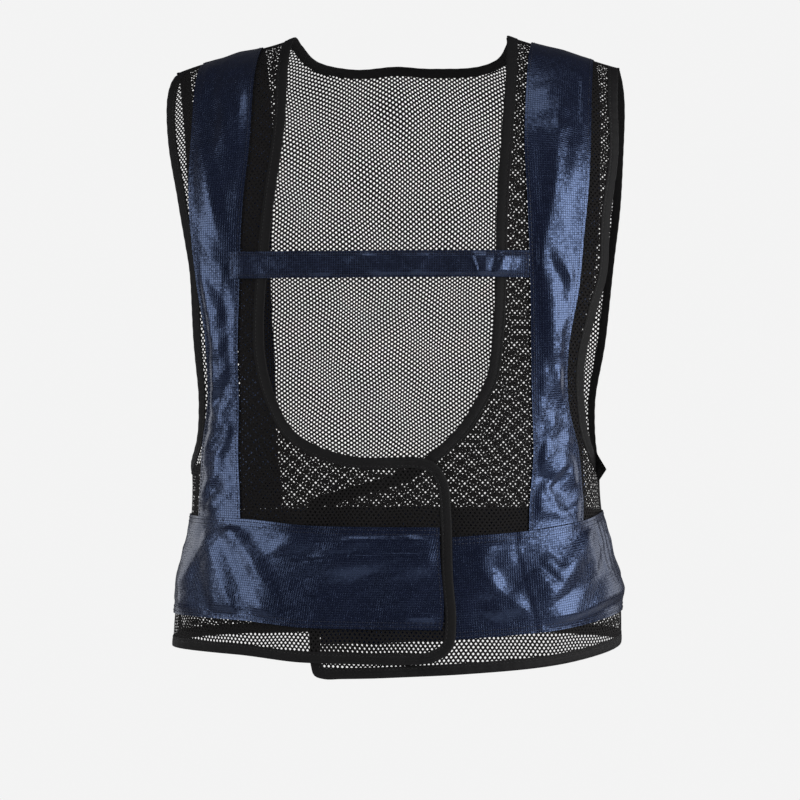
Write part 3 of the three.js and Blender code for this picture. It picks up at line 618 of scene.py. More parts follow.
def back_net_outline():
    neck = inset(back_neck_path(), -NET_INSET)
    left, right = inset(BACK_ARMS["left"], NET_INSET), inset(BACK_ARMS["right"], -NET_INSET)
    right[:, 0] += 2 * np.pi
    left[-1, 0], right[-1, 0] = SIDE, 3 * SIDE
    hem_turn = np.linspace(SIDE, 3 * SIDE, HEM_STEPS)
    hem = np.stack([hem_turn, back_hem_at(hem_turn) + NET_INSET], -1)
    right_top = over_the_top(right[0, 0], neck[-1, 0])
    left_top = over_the_top(neck[0, 0], left[0, 0])
    return np.vstack([left, hem, right[::-1], right_top, neck[::-1], left_top])


nets = {
    "right": net_mesh("right_front_net", front_net_outline("right", -1), 0.0, lap_height),
    "left": net_mesh("left_front_net", front_net_outline("left", 1), 0.0),
    "back": net_mesh("back_net", back_net_outline(), np.pi, turned=True),
}

# %% [markdown]
# Every raw edge of the net is bound with black tape, folded round it and sewn through. It is a
# closed profile carried along the edge: rounded at the fold, with a shallow groove where the
# thread pulls it in. The tape puckers a little between stitches.

# %% Tape round the edges
TAPE_PROFILE = table(
    "across height",
    (10.0, 0.5), (9.9, 0.95), (9.3, 1.2), (8.4, 1.2), (7.7, 0.95), (7.0, 1.2), (5.0, 1.35),
    (2.4, 1.35), (0.8, 1.2), (0.15, 0.85), (0.0, 0.4), (0.15, -0.05), (0.8, -0.4), (5.0, -0.5),
    (9.3, -0.4), (9.9, -0.05),
)
TAPE_STEP = 2.5
PUCKER, PUCKER_LENGTH, PUCKER_DRIFT = 0.16, 11.0, 37.0


def tape_mesh(name, curve, side, raise_by=flat, closed=False):
    """The profile at each step of the path, on the side of the net, joined into a closed band."""
    across, height = TAPE_PROFILE["across"], TAPE_PROFILE["height"]
    turn, run, stops = strip(curve, TAPE_STEP, across, side, closed)
    wave = np.sin(stops * 2 * np.pi / PUCKER_LENGTH + np.sin(stops / PUCKER_DRIFT) * 2)
    lift = height + PUCKER * wave[:, None] * np.clip(height, 0, 1)
    points = cloth_point(turn, run, lift, raise_by).reshape(-1, 3)
    rows, columns = lift.shape
    faces = [quads(rows, columns, around=True, closed=closed)]
    if not closed:
        end = (rows - 1) * columns
        faces.append(np.array([np.arange(columns)[::-1], end + np.arange(columns)]))
    around = path_length(np.stack([across, height], -1))
    uv = np.stack(np.broadcast_arrays(stops[:, None], around[None, :]), -1).reshape(-1, 2)
    return add_mesh(name, points, outward_faces(points, faces), uv)


def armhole_ring(label):
    return np.vstack([ARMS[label], BACK_ARMS[label][::-1][1:-1]])


hem_turns = np.linspace(SIDE, 3 * SIDE, 2 * HEM_STEPS)
back_hem = np.stack([hem_turns, back_hem_at(hem_turns)], -1)
tapes = {
    "right": tape_mesh("right_edge_tape", EDGES["right"], -1.0, lap_height),
    "left": tape_mesh("left_edge_tape", EDGES["left"], 1.0),
    "neck": tape_mesh("back_neck_tape", back_neck_path(), -1.0),
    "hem": tape_mesh("back_hem_tape", back_hem, 1.0),
    "right_arm": tape_mesh("right_armhole_tape", armhole_ring("right"), 1.0, closed=True),
    "left_arm": tape_mesh("left_armhole_tape", armhole_ring("left"), -1.0, closed=True),
}
print("tapes", {name: len(piece.data.polygons) for name, piece in tapes.items()})

# %% [markdown]
# Thin nylon doesn't wrinkle in soft waves like wool. It breaks into flat facets that meet in
# sharp lines, and each facet catches the light as a whole. Small facets come from folded waves in
# random directions. The main folds are placed where the photograph shows them.

# %% Creases of thin nylon
MARGIN, FLAT_SHARE = 5.5, 0.55
LOWEST, HIGHEST, LIMIT_ROUNDING = 0.2, 4.6, 0.4
FACETS = table("scale steepness", (1.0, 1.0), (0.6, 0.9), (0.33, 0.7))
WAVES_PER_SIZE = 3
BEND, BEND_LENGTH = 0.4, 1.3
FADE_LENGTH, FADE_PACE, FADE_LOW, FADE_HIGH = 1.5, 2.1, -0.2, 0.9
SEEDS = {
    "right_duct": 11, "left_duct": 23, "right_waist_band": 31, "left_waist_band": 47,
    "back_waist_band": 59, "chest_strap_cloth": 71,
}


def crumple(name, across, along, cell, slope):
    """Sum of folded waves, each a straight saw-tooth in a random direction, that a slow sine bends
    and another fades, over three sizes of facet. Its mean is about nought."""
    random = np.random.default_rng(SEEDS[name])
    total = np.zeros(across.shape)
    for scale, steepness in zip(*FACETS.values()):
        for _ in range(WAVES_PER_SIZE):
            angle, phase, bend = random.uniform(0, np.pi), random.uniform(0, 2), random.uniform(0, 6)
            line = across * np.cos(angle) + along * np.sin(angle)
            square = along * np.cos(angle) - across * np.sin(angle)
            wave = line / (cell * scale) + phase + BEND * np.sin(square / (cell * BEND_LENGTH) + bend)
            fade = np.sin(square / (cell * FADE_LENGTH) + 2 * bend)
            fade = fade + np.sin(line / (cell * FADE_PACE) + phase)
            tooth = np.abs(wave % 2 - 1) - 0.5
            total += slope * steepness * cell * scale * smooth_step(fade, FADE_LOW, FADE_HIGH) * tooth
    return total


def soft_limits(height):
    """Keeps a height between the lowest and the highest value, with rounded bends."""
    height = LOWEST + np.logaddexp(0, (height - LOWEST) / LIMIT_ROUNDING) * LIMIT_ROUNDING
    return HIGHEST - np.logaddexp(0, (HIGHEST - height) / LIMIT_ROUNDING) * LIMIT_ROUNDING


def fold_table(*rows):
    return table("out drop lean length left right rise", *rows)


def seen_folds(turn, run, folds, facing=-1):
    """Folds like tents, placed as a view from the front or back shows them: out from the centre
    plane and down from the shoulder. A fold rises in straight slopes, one on the left and one on
    the right of its line, and the sharp line between them fades out at both ends."""
    places = form_point(turn, run)
    total = np.zeros(places.shape[:-1])
    for out, drop, lean, length, left, right, rise in zip(*folds.values()):
        way = np.radians(lean)
        aside, up = places[..., 0] - out, places[..., 2] + drop
        line = aside * np.cos(way) + up * np.sin(way)
        offset = up * np.cos(way) - aside * np.sin(way)
        slope = np.clip(1 - np.abs(offset) / np.where(offset > 0, left, right), 0, 1)
        total += rise * slope * np.exp(-((line / length) ** 4))
    return total * (places[..., 1] * facing > 0)


def margin_fade(distance, reach):
    """0 in the sewn margin, then a smooth rise over the given reach."""
    return smooth_step(distance, MARGIN * FLAT_SHARE, MARGIN + reach)


def crown(height, share):
    """A parabola that swells to its height halfway across."""
    return height * 4 * share * (1 - share)


def end_share(distance, lowest, reach):
    """The share of its height that a piece keeps towards a sewn end."""
    return lowest + (1 - lowest) * smooth_step(distance, 0, reach)


def cloth_lengths(turn, run):
    """Distance across each row and along the middle column of a grid of places, in mm."""
    points = form_point(turn, run)
    along = path_length(points[:, points.shape[1] // 2])
    return path_length(points, axis=1), np.broadcast_to(along[:, None], turn.shape)


def nylon_piece(name, turn, run, height, raise_by=flat, base=NYLON_LIFT):
    """Two layers of nylon: the inner one flat at its base, the outer one at the given height."""
    across, along = cloth_lengths(turn, run)
    top = base + NYLON_MARGIN + height(across, along)
    outer, inner = [cloth_point(turn, run, lift, raise_by) for lift in (top, base)]
    piece = two_skins(name, outer, inner, np.stack([across, along], -1))
    print(name, len(piece.data.polygons), "faces", np.round([across[0, -1], along[-1, 0]]), "mm")
    return {"piece": piece, "turn": turn, "run": run, "across": across, "along": along, "top": top,
            "raise": raise_by}


# %% Shoulder ducts
DUCT_CROWN = 1.7
DUCT_STEP = 1.9
DUCT_CELL, DUCT_SLOPE = 30.0, 0.09
DUCT_FADE = 5.0
DUCT_END, DUCT_END_REACH = 0.35, 14
DUCT_ABOVE_BAND = 0.3
RIDGE_REACH = 45
CALM_START, CALM_END, CALM_SHARE = 90, 150, 0.65
RIDGE_HEIGHTS = {
    "right": table("across share", (0, 0.12), (0.2, 0.5), (0.42, 0.62), (0.72, 0.1), (1.0, 0.15)),
    "left": table("across share", (0, 0.15), (0.3, 0.55), (0.55, 0.7), (0.85, 0.5), (1.0, 0.3)),
}
DUCT_FOLDS = {
    "right": fold_table(
        (-163, 125, 104, 60, 17, 12, 2.6), (-174, 41, 85, 34, 8, 10, 1.6),
        (-152, 67, 101, 30, 7, 10, 1.3), (-168, 262, 91, 66, 12, 18, 1.9),
        (-164, 303, 140, 12, 8, 6, 1.6), (-160, 322, 38, 12, 8, 6, 1.7),
        (-164, 344, 142, 13, 8, 6, 1.6), (-159, 366, 40, 12, 8, 6, 1.5),
        (-165, 386, 120, 14, 8, 8, 1.4), (-164, 410, 61, 26, 14, 8, 2.6),
    ),
    "left": fold_table(
        (152, 95, 88, 42, 14, 10, 1.7), (146, 166, 80, 46, 10, 19, 3.0), (175, 62, 92, 34, 4, 7, 1.5),
        (163, 213, 118, 20, 8, 12, 2.4), (163, 256, 88, 28, 9, 6, 2.0), (150, 252, 91, 34, 14, 8, 1.6),
        (150, 313, 60, 20, 11, 8, 1.6), (143, 364, 70, 26, 9, 14, 1.8), (141, 396, 160, 9, 5, 5, -1.6),
        (155, 396, 58, 13, 5, 5, -1.8), (150, 420, 112, 22, 14, 9, 2.2),
    ),
}


def hem_line(rows):
    return lambda turn: hem_at(rows, turn)


def duct_grid(side, front_hem):
    """Places of a duct: at each run the inner edge stands at its line from the centre plane, and
    the outer edge its width further on, measured on the cloth. Both ends follow the bands."""
    band_top = BAND_RISE + BAND_HEIGHT + DUCT_ABOVE_BAND
    bottom = HEM_RUN + band_top
    share = np.linspace(0, 1, int((SHOULDER_RUN - bottom) / DUCT_STEP) + 1)
    run = bottom + (SHOULDER_RUN - bottom) * share
    level = level_at_run(run)
    inner = place_at(side * read(DUCT, "level", "line", level) * (NECK_HALF_WIDTH + DUCT_SETBACK), run)
    width = read(DUCT, "level", "width", level) * DUCT_WIDTH
    outer, outer_run = inner, run
    down = np.broadcast_to([0.0, -1.0], (*run.shape, 2))
    steps = 6
    for _ in range(steps):
        outer, outer_run = beside(outer, outer_run, down, side * width / steps)
    columns = np.linspace(0, 1, int(DUCT_WIDTH / DUCT_STEP) + 1)

    def section(hem):
        """The front or back half, up to the ridge."""
        ends = [hem(edge) + band_top for edge in (inner, outer)]
        first, last = [end + (SHOULDER_RUN - end) * share for end in ends]
        turn = inner[:, None] + (outer - inner)[:, None] * columns
        return turn, first[:, None] + (last - first)[:, None] * columns

    turn, run = section(front_hem)
    back_turn, back_run = section(lambda turn: back_hem_at(np.pi - side * np.abs(turn)))
    turn = np.vstack([turn, side * np.pi - back_turn[-2::-1]])
    return turn, np.vstack([run, back_run[-2::-1]]), columns


def make_duct(label, side, front_hem):
    """Over the shoulder the duct is pressed down, all but a low hump, and its facets are calmer."""
    name = f"{label}_duct"
    turn, run, columns = duct_grid(side, front_hem)
    hump = read(RIDGE_HEIGHTS[label], "across", "share", columns)
    pressed = 1 - smooth_step(run, SHOULDER_RUN - RIDGE_REACH, SHOULDER_RUN) * (1 - hump)
    calm = 1 - CALM_SHARE * smooth_step(run, CALM_START, CALM_END)

    def height(across, along):
        edge = np.minimum(across, across[:, -1:] - across)
        ends = np.minimum(along, along[-1, 0] - along)
        rough = crumple(name, across, along, DUCT_CELL, DUCT_SLOPE) * calm
        folds = margin_fade(edge, DUCT_FADE) * (rough + seen_folds(turn, run, DUCT_FOLDS[label]))
        rise = soft_limits((crown(DUCT_CROWN, columns) + folds) * pressed)
        return rise * end_share(ends, DUCT_END, DUCT_END_REACH)

    return nylon_piece(name, turn, run, height)


ducts = {
    "right": make_duct("right", -1, hem_line(RIGHT_HEM)),
    "left": make_duct("left", 1, hem_line(LEFT_HEM)),
}

# %% Waist bands
BAND_CELL, BAND_SLOPE = 38.0, 0.09
BAND_CROWN = 1.7
BAND_STEP, GIRTH_SAMPLES = 1.9, 200
BAND_FADE = 8.0
BAND_END, BAND_END_REACH = 0.3, 12
BAND_GAP = 0.6
BAND_FOLDS = {
    "right": fold_table(
        (-146, 487, 114, 56, 22, 13, 3.0), (-118, 469, 125, 36, 10, 13, 2.0),
        (-20, 451, 4, 60, 6, 14, 2.6), (-24, 467, 4, 66, 2.5, 14, 2.6), (22, 447, 160, 16, 4, 4, 1.6),
        (33, 518, 3, 14, 5, 6, 2.0), (-172, 470, 60, 22, 12, 8, 1.6),
    ),
    "left": fold_table(
        (139, 474, 131, 24, 5, 5, -1.7), (149, 462, 124, 20, 4, 6, -1.7), (181, 468, 108, 26, 9, 8, 1.5),
        (174, 517, 30, 34, 20, 8, 3.0), (108, 497, 135, 26, 10, 10, 2.0), (94, 513, 5, 36, 8, 14, 2.0),
    ),
    "back": fold_table(
        (-150, 470, 70, 40, 14, 10, 2.2), (-70, 500, 120, 34, 12, 14, 2.0),
        (20, 470, 60, 36, 14, 10, 2.2), (110, 495, 110, 34, 10, 14, 2.2), (170, 470, 80, 30, 12, 9, 2.0),
    ),
}


def band_grid(start_turn, end_turn, hem):
    """Places of a band: rows at even heights above the hem, from one end's turn to the other's."""
    rows = np.linspace(0, 1, int(BAND_HEIGHT / BAND_STEP) + 1)
    height = (BAND_RISE + BAND_HEIGHT * rows)[:, None]
    start, end = start_turn(HEM_RUN + height), end_turn(HEM_RUN + height)
    middle = np.linspace(float(np.mean(start)), float(np.mean(end)), GIRTH_SAMPLES)
    girth = path_length(form_point(middle, HEM_RUN + BAND_RISE + BAND_HEIGHT / 2))[-1]
    turn = start + (end - start) * np.linspace(0, 1, int(girth / BAND_STEP) + 1)
    return turn, hem(turn) + height


def front_end(free_edge, side):
    """A front band starts beside the tape of its panel's free edge."""

    def turn_at(run):
        edge = read(free_edge, "level", "out", level_at_run(run)) * LAP
        return place_at(edge + side * (TAPE_WIDTH + BAND_GAP), run)

    return turn_at


def seam_end(turn):
    """A band ends in a side seam, at one turn."""
    return lambda run: np.full_like(run, turn)


def make_band(label, start_turn, end_turn, hem, raise_by=flat, extra=flat, flattened=flat):
    """The grid's rows go up and its columns round the body."""
    name = f"{label}_waist_band"
    turn, run = band_grid(start_turn, end_turn, hem)
    facing = 1 if label == "back" else -1

    def height(across, along):
        edge = np.minimum(along, BAND_HEIGHT - along)
        ends = np.minimum(across, across[:, -1:] - across)
        rough = crumple(name, across, along, BAND_CELL, BAND_SLOPE)
        folds = margin_fade(edge, BAND_FADE) * (rough + seen_folds(turn, run, BAND_FOLDS[label], facing))
        rise = soft_limits(crown(BAND_CROWN, along / along[-1, 0]) + folds) * (1 - flattened(turn))
        return end_share(ends, BAND_END, BAND_END_REACH) * rise + extra(turn, run, across, along)

    return nylon_piece(name, turn, run, height, raise_by)


SEAM_PLACES = table("out drop", (119.5, 459), (140.5, 543))
SEAM_STEP, SEAM_STEP_WIDTH = 0.7, 2
PLEAT_WIDTH, PLEAT_RISE, PLEAT_FADE = 5.5, 1.3, 6.0
PLEATS_FULL, PLEATS_END = 36, 62
PLEATS_LOW, PLEATS_HIGH = 20, 70
UNDER_LAP, UNDER_LAP_START, UNDER_LAP_END = 0.75, 0.5, 0.72


def side_part(turn, run, across, along):
    """The left band's side part is sewn on top along a slanted seam. Below the armhole it is drawn
    into small upright pleats, which fade down."""
    places = form_point(turn, run)
    seam = np.interp(-places[..., 2], SEAM_PLACES["drop"], SEAM_PLACES["out"])
    from_side = across[:, -1:] - across
    pleats = PLEAT_RISE * np.abs((from_side / PLEAT_WIDTH) % 2 - 1)
    pleats = pleats * smooth_step(-from_side, -PLEATS_END, -PLEATS_FULL)
    pleats = pleats * smooth_step(along, PLEATS_LOW, PLEATS_HIGH)
    edge = margin_fade(np.minimum(along, BAND_HEIGHT - along), PLEAT_FADE)
    return SEAM_STEP * smooth_step(places[..., 0], seam, seam + SEAM_STEP_WIDTH) + pleats * edge


def under_the_lap(turn):
    """The share by which the left band lies flatter where the right front covers it."""
    return UNDER_LAP * (1 - smooth_step(turn, UNDER_LAP_START, UNDER_LAP_END))


bands = {
    "right": make_band(
        "right", seam_end(-SIDE), front_end(RIGHT_FREE_EDGE, -1), hem_line(RIGHT_HEM), lap_height
    ),
    "left": make_band(
        "left", front_end(LEFT_FREE_EDGE, 1), seam_end(SIDE), hem_line(LEFT_HEM),
        extra=side_part, flattened=under_the_lap,
    ),
    "back": make_band("back", seam_end(SIDE), seam_end(3 * SIDE), back_hem_at),
}

# %% Chest strap
STRAP_LIFT = 1.9
STRAP_ON_DUCT = 5.6
STRAP_GAP = 0.3
STRAP_STEP, STRAP_ROWS = 1.8, 15
STRAP_CELL, STRAP_SLOPE = 22.0, 0.1
STRAP_FULLNESS, STRAP_CREST = 0.1, 0.9
STRAP_MARGIN_CUT, STRAP_FADE = 2, 1.5
STRAP_SEAM_OUT, STRAP_END_LAP = 0.68, 0.8
STRAP_TAB_OUT, STRAP_TAB_LAP = 0.935, 0.6
STRAP_STEP_WIDTH = 1.5
STRAP_FOLDS = fold_table(
    (84, 206, 109, 22, 2, 17, 3.7), (103, 206, 72, 18, 3, 17, 3.7), (66, 207, 118, 13, 6, 8, 0.9),
    (34, 206, 52, 15, 8, 6, 0.8), (-8, 206, 124, 15, 6, 8, 0.8), (-46, 207, 60, 14, 8, 7, 0.9),
    (-84, 205, 122, 13, 7, 6, 0.9),
)


def make_strap():
    """A folded strip. Its right end, seen on the left, is raised on the right duct, and its left end
    stops beside the left duct. Both ends are sewn double, so they stand a step higher."""
    name = "chest_strap_cloth"
    line = (NECK_HALF_WIDTH + DUCT_SETBACK) * float(read(DUCT, "level", "line", 0.0))
    start, end = -(line + STRAP_END_ON_DUCT), line - STRAP_GAP
    columns = np.linspace(start, end, int((end - start) / STRAP_STEP) + 1)[None, :]
    rows = -STRAP_DROP - np.linspace(STRAP_HEIGHT, 0, STRAP_ROWS)[:, None]
    x, run = np.broadcast_arrays(columns, rows)
    turn = place_at(x, run)
    climb = smooth_step(-x, NECK_HALF_WIDTH + TAPE_WIDTH, line + 2)
    seam, tab = STRAP_SEAM_OUT * line, STRAP_TAB_OUT * line
    joined = STRAP_END_LAP * smooth_step(x, seam, seam + STRAP_STEP_WIDTH)
    joined = joined + STRAP_TAB_LAP * smooth_step(-x, tab, tab + STRAP_STEP_WIDTH)

    def height(across, along):
        edge = np.minimum(along, STRAP_HEIGHT - along) + STRAP_MARGIN_CUT
        rough = crumple(name, across, along, STRAP_CELL, STRAP_SLOPE)
        creases = soft_limits(STRAP_CREST + seen_folds(turn, run, STRAP_FOLDS) + rough)
        return STRAP_FULLNESS + margin_fade(edge, STRAP_FADE) * creases + joined

    return nylon_piece(name, turn, run, height, base=STRAP_LIFT + (STRAP_ON_DUCT - STRAP_LIFT) * climb)


strap = make_strap()

# %% [markdown]
# The front and back nets meet in a seam down each side and along each shoulder. A flat tape covers
# it, under the nylon. At the bottom of the left armhole the binding is pinched into a small point.

# %% Seam tapes
SEAM_TAPE_WIDTH = 9.0
SEAM_TAPE_LOW, SEAM_TAPE_HIGH = -0.45, 1.1
SEAM_TAPE_STEP, SEAM_TAPE_ROWS, SEAM_TAPE_GAP = 3, 50, 2
SEAM_TAPE_COLUMNS = np.linspace(-0.5, 0.5, 7)
SEAM_TAPE_ROUNDING = 0.8
POINT_LINE = table("turn run", (77.5, -182), (84, -213))
POINT_TIP = np.array([196.0, -38.0, -390.0])
POINT_ROWS, POINT_COLUMNS, POINT_LENGTH, POINT_WIDTH = 9, 7, 30, 10
POINT_REACH, POINT_THICKNESS, POINT_BELLY = 0.97, 0.75, 0.8


def seam_tape(name, turn, run):
    """A strip on a grid of places, with its outer skin rounded down at both long edges."""
    share = np.linspace(-1, 1, turn.shape[1])
    drop = SEAM_TAPE_ROUNDING * (SEAM_TAPE_HIGH - SEAM_TAPE_LOW) * share**6
    outer, inner = cloth_point(turn, run, SEAM_TAPE_HIGH - drop), cloth_point(turn, run, SEAM_TAPE_LOW)
    across, along = cloth_lengths(turn, run)
    return two_skins(name, outer, inner, np.stack([along, across], -1))


def side_seam(label, side, hem_run):
    ends = [(side * SIDE, -ARMHOLE_BOTTOM - TAPE_WIDTH / 2), (side * SIDE, hem_run + TAPE_WIDTH / 2)]
    turn, run, _ = strip(trace(ends), SEAM_TAPE_STEP, SEAM_TAPE_COLUMNS * SEAM_TAPE_WIDTH)
    return seam_tape(f"{label}_side_tape", turn, run)


def shoulder_seam(label, side, neck_out):
    """It runs along the ridge from the neck to the armhole, half on the front, half on the back."""
    start = neck_out * NECK_HALF_WIDTH + SEAM_TAPE_GAP
    tip = abs(float(form_point(np.radians(RIGHT_ARMHOLE["turn"][0]), SHOULDER_RUN)[0]))
    x = side * np.linspace(start, tip - SEAM_TAPE_GAP, SEAM_TAPE_ROWS)[:, None]
    x, run = np.broadcast_arrays(x, SHOULDER_RUN - np.abs(SEAM_TAPE_COLUMNS) * SEAM_TAPE_WIDTH)
    turn = np.where(SEAM_TAPE_COLUMNS < 0, place_at(x, run), place_at(x, run, at_back=True))
    return seam_tape(f"{label}_shoulder_tape", turn, run)


def armhole_point():
    """A flap from a short line on the cloth to one tip that stands out from it."""
    share, reach = np.linspace(0, 1, POINT_ROWS)[:, None], np.linspace(0, 1, POINT_COLUMNS)[None, :]
    turn, run = [ends[0] + (ends[1] - ends[0]) * share[:, 0] for ends in POINT_LINE.values()]
    line = cloth_point(np.radians(turn), run, 1.0)
    near = reach[..., None] * POINT_REACH
    skin = line[:, None] * (1 - near) + POINT_TIP * near
    thick = POINT_THICKNESS + POINT_BELLY * np.sin(np.pi * share) * (1 - reach)
    thick = np.array([0, 1.0, 0]) * thick[..., None]
    uv = np.stack(np.broadcast_arrays(POINT_LENGTH * share, POINT_WIDTH * reach), -1)
    return two_skins("left_armhole_point", skin - thick, skin + thick, uv)


seam_tapes = [
    side_seam("right", -1, float(hem_at(RIGHT_HEM, -SIDE))),
    side_seam("left", 1, float(hem_at(LEFT_HEM, SIDE))),
    shoulder_seam("right", -1, -RIGHT_NECK["out"][0]),
    shoulder_seam("left", 1, LEFT_NECK["out"][0]),
    armhole_point(),
]
print("seam tapes", [piece.name for piece in seam_tapes])

# %% [markdown]
# Seams hold it together: lines of stitches 3 mm inside the edges of the nylon and along the tape.
# A stitch is a short thread that bulges up, a spindle of a few faces, copied along each line as
# one joined mesh.

# %% Stitches
STITCH_PITCH = 3.4
STITCH_LENGTH = 2.5
STITCH_RADIUS = 0.28
STITCH_SHOULDER, STITCH_SINK = 0.6, -0.6
STITCH_SIDES = 5
STITCH_INSET, SECOND_INSET = 2.7, 6.2
STITCH_PROUD = 0.12
TAPE_GROOVE, TAPE_GROOVE_LIFT = 7.7, 1.02


def stitch_mesh(name, lines):
    """A spindle at each step along each line. It has two rings of corners round the thread, and
    its two ends are points. A line is an array of places, a lift and a height to ride on."""
    centres, alongs, outs = [], [], []
    for turn, run, lift, raise_by in lines:
        points = cloth_point(turn, run, lift, raise_by)
        length = path_length(points)
        stops = np.arange(STITCH_PITCH / 2, length[-1], STITCH_PITCH)
        behind, here, ahead = [read_along(stops + shift, length, points) for shift in (-0.5, 0, 0.5)]
        centres.append(here)
        alongs.append((ahead - behind) / np.linalg.norm(ahead - behind, axis=1, keepdims=True))
        outs.append(slopes(np.interp(stops, length, turn), np.interp(stops, length, run))[2])
    centre, along, out = np.concatenate(centres), np.concatenate(alongs), np.concatenate(outs)
    n = STITCH_SIDES
    ring = np.linspace(0, 2 * np.pi, n + 1)[:-1]
    rings = np.repeat([-STITCH_SHOULDER, STITCH_SHOULDER], n)
    t = np.concatenate([[-1.0], rings, [1.0]]) * STITCH_LENGTH / 2
    sideways = np.concatenate([[0], np.tile(np.cos(ring), 2), [0]]) * STITCH_RADIUS
    upward = np.concatenate([[STITCH_SINK], np.tile(np.sin(ring), 2), [STITCH_SINK]]) * STITCH_RADIUS
    points = centre[:, None] + along[:, None] * t[:, None]
    points = points + np.cross(out, along)[:, None] * sideways[:, None] + out[:, None] * upward[:, None]
    step = np.arange(n)
    onward = (step + 1) % n
    sides = np.stack([1 + step, 1 + onward, 1 + n + onward, 1 + n + step], -1)
    tips = np.concatenate([
        np.stack([np.zeros(n, int), 1 + onward, 1 + step], -1),
        np.stack([np.full(n, 2 * n + 1), 1 + n + step, 1 + n + onward], -1),
    ])
    offsets = np.arange(len(centre))[:, None, None] * (2 * n + 2)
    faces = outward_faces(points[0], [sides, tips])
    faces = [(offsets + part).reshape(-1, part.shape[1]) for part in faces]
    uv = np.tile(np.stack([t, sideways], -1), (len(centre), 1))
    print(name, len(centre), "stitches")
    return add_mesh(name, points.reshape(-1, 3), faces, uv)


def edge_lines(part, by_columns, stitch_inset=STITCH_INSET):
    """Lines just inside two opposite edges of a grid, read between its columns or its rows."""
    grids = [part["turn"], part["run"], part["top"], part["across" if by_columns else "along"]]
    *grids, reach = grids if by_columns else [grid.T for grid in grids]
    row = np.arange(len(reach))
    lines = []
    for share in (stitch_inset / reach[:, -1], 1 - stitch_inset / reach[:, -1]):
        position = share * (reach.shape[1] - 1)
        low = np.clip(position.astype(int), 0, reach.shape[1] - 2)
        rest = position - low
        turn, run, top = [grid[row, low] * (1 - rest) + grid[row, low + 1] * rest for grid in grids]
        lines.append((turn, run, top + STITCH_PROUD, part["raise"]))
    return lines


def tape_line(curve, side, raise_by=flat):
    """The line of stitches in the groove of a tape."""
    turn, run = inset(curve, side * TAPE_GROOVE).T
    return turn, run, TAPE_GROOVE_LIFT, raise_by


def closed_ring(label):
    ring = armhole_ring(label)
    return np.vstack([ring, ring[:1]])


nylon_lines = [line for part in ducts.values() for line in edge_lines(part, True)]
for part in bands.values():
    nylon_lines += edge_lines(part, True)
    nylon_lines += edge_lines(part, False) + edge_lines(part, False, SECOND_INSET)
nylon_lines += edge_lines(strap, True) + edge_lines(strap, False)
nylon_stitches = stitch_mesh("nylon_stitches", nylon_lines)
tape_stitches = stitch_mesh("tape_stitches", [
    tape_line(EDGES["right"], -1, lap_height),
    tape_line(EDGES["left"], 1),
    tape_line(back_neck_path(), -1),
    tape_line(back_hem, 1),
    tape_line(closed_ring("right"), 1),
    tape_line(closed_ring("left"), -1),
])

# %% [markdown]
# Three finishes: knitted net, woven tape and crushed nylon. Net and tape share a node group for
# their weave, each with its own thread pitch. The nylon of the vest and of the strap share one for
# ripstop cloth: square cells between thicker threads, each cell leaning its own way, so that it
# glitters where the light meets it.

# %% Shader helpers


def srgb(red, green, blue):
    """Linear colour, with full opacity, from the 0 to 255 values that a picture shows."""
    share = np.array([red, green, blue]) / 255
    linear = np.where(share <= 0.04045, share / 12.92, ((share + 0.055) / 1.055) ** 2.4)
    return (*linear, 1.0)


def plug(tree, node, **inputs):
    """Fills a node's inputs by name, or by number as in i2: a value stays on its socket, and a
    socket is linked to it."""
    for key, value in inputs.items():
        socket = node.inputs[int(key[1:]) if key[1:].isdigit() else key.replace("_", " ")]
        if isinstance(value, bpy.types.NodeSocket):
            tree.links.new(value, socket)
        else:
            socket.default_value = value
    return node


def add_node(tree, kind, settings=None, **inputs):
    node = tree.nodes.new(kind)
    for key, value in (settings or {}).items():
        setattr(node, key, value)
    return plug(tree, node, **inputs)


def math_node(tree, operation, *values, kind="ShaderNodeMath", out=0):
    """One step of arithmetic on sockets and values."""
    inputs = {f"i{index}": value for index, value in enumerate(values)}
    return add_node(tree, kind, {"operation": operation}, **inputs).outputs[out]


def vector_node(tree, operation, *values, out=0):
    return math_node(tree, operation, *values, kind="ShaderNodeVectorMath", out=out)


def mix_colour(tree, share, first, second):
    """Linear mix of two colours by a mask."""
    node = add_node(tree, "ShaderNodeMix", {"data_type": "RGBA"}, i0=share, i6=first, i7=second)
    return node.outputs[2]


def noise(tree, vector, scale, detail, settings=None, **inputs):
    node = add_node(tree, "ShaderNodeTexNoise", settings, Vector=vector, Scale=scale, Detail=detail,
                    **inputs)
    return node.outputs["Fac"]


def scaled(tree, vector, scale):
    return add_node(tree, "ShaderNodeMapping", Vector=vector, Scale=scale).outputs[0]


def bump(tree, height, strength, distance, **below):
    """A normal from a height and its depth in metres, on top of a coarser normal if one is given."""
    node = add_node(tree, "ShaderNodeBump", Height=height, Strength=strength, Distance=distance, **below)
    return node.outputs[0]


def on_cloth(tree):
    """The UV place on the cloth, in mm."""
    return add_node(tree, "ShaderNodeUVMap", {"uv_map": "UVMap"}).outputs[0]


def in_space(tree):
    """The place in the object's own space, in metres."""
    return add_node(tree, "ShaderNodeTexCoord").outputs["Object"]


def new_material(name):
    material = bpy.data.materials.new(name)
    material.use_nodes = True
    tree = material.node_tree
    tree.nodes.clear()
    shader = tree.nodes.new("ShaderNodeBsdfPrincipled")
    add_node(tree, "ShaderNodeOutputMaterial", i0=shader.outputs[0])
    return material, tree, shader


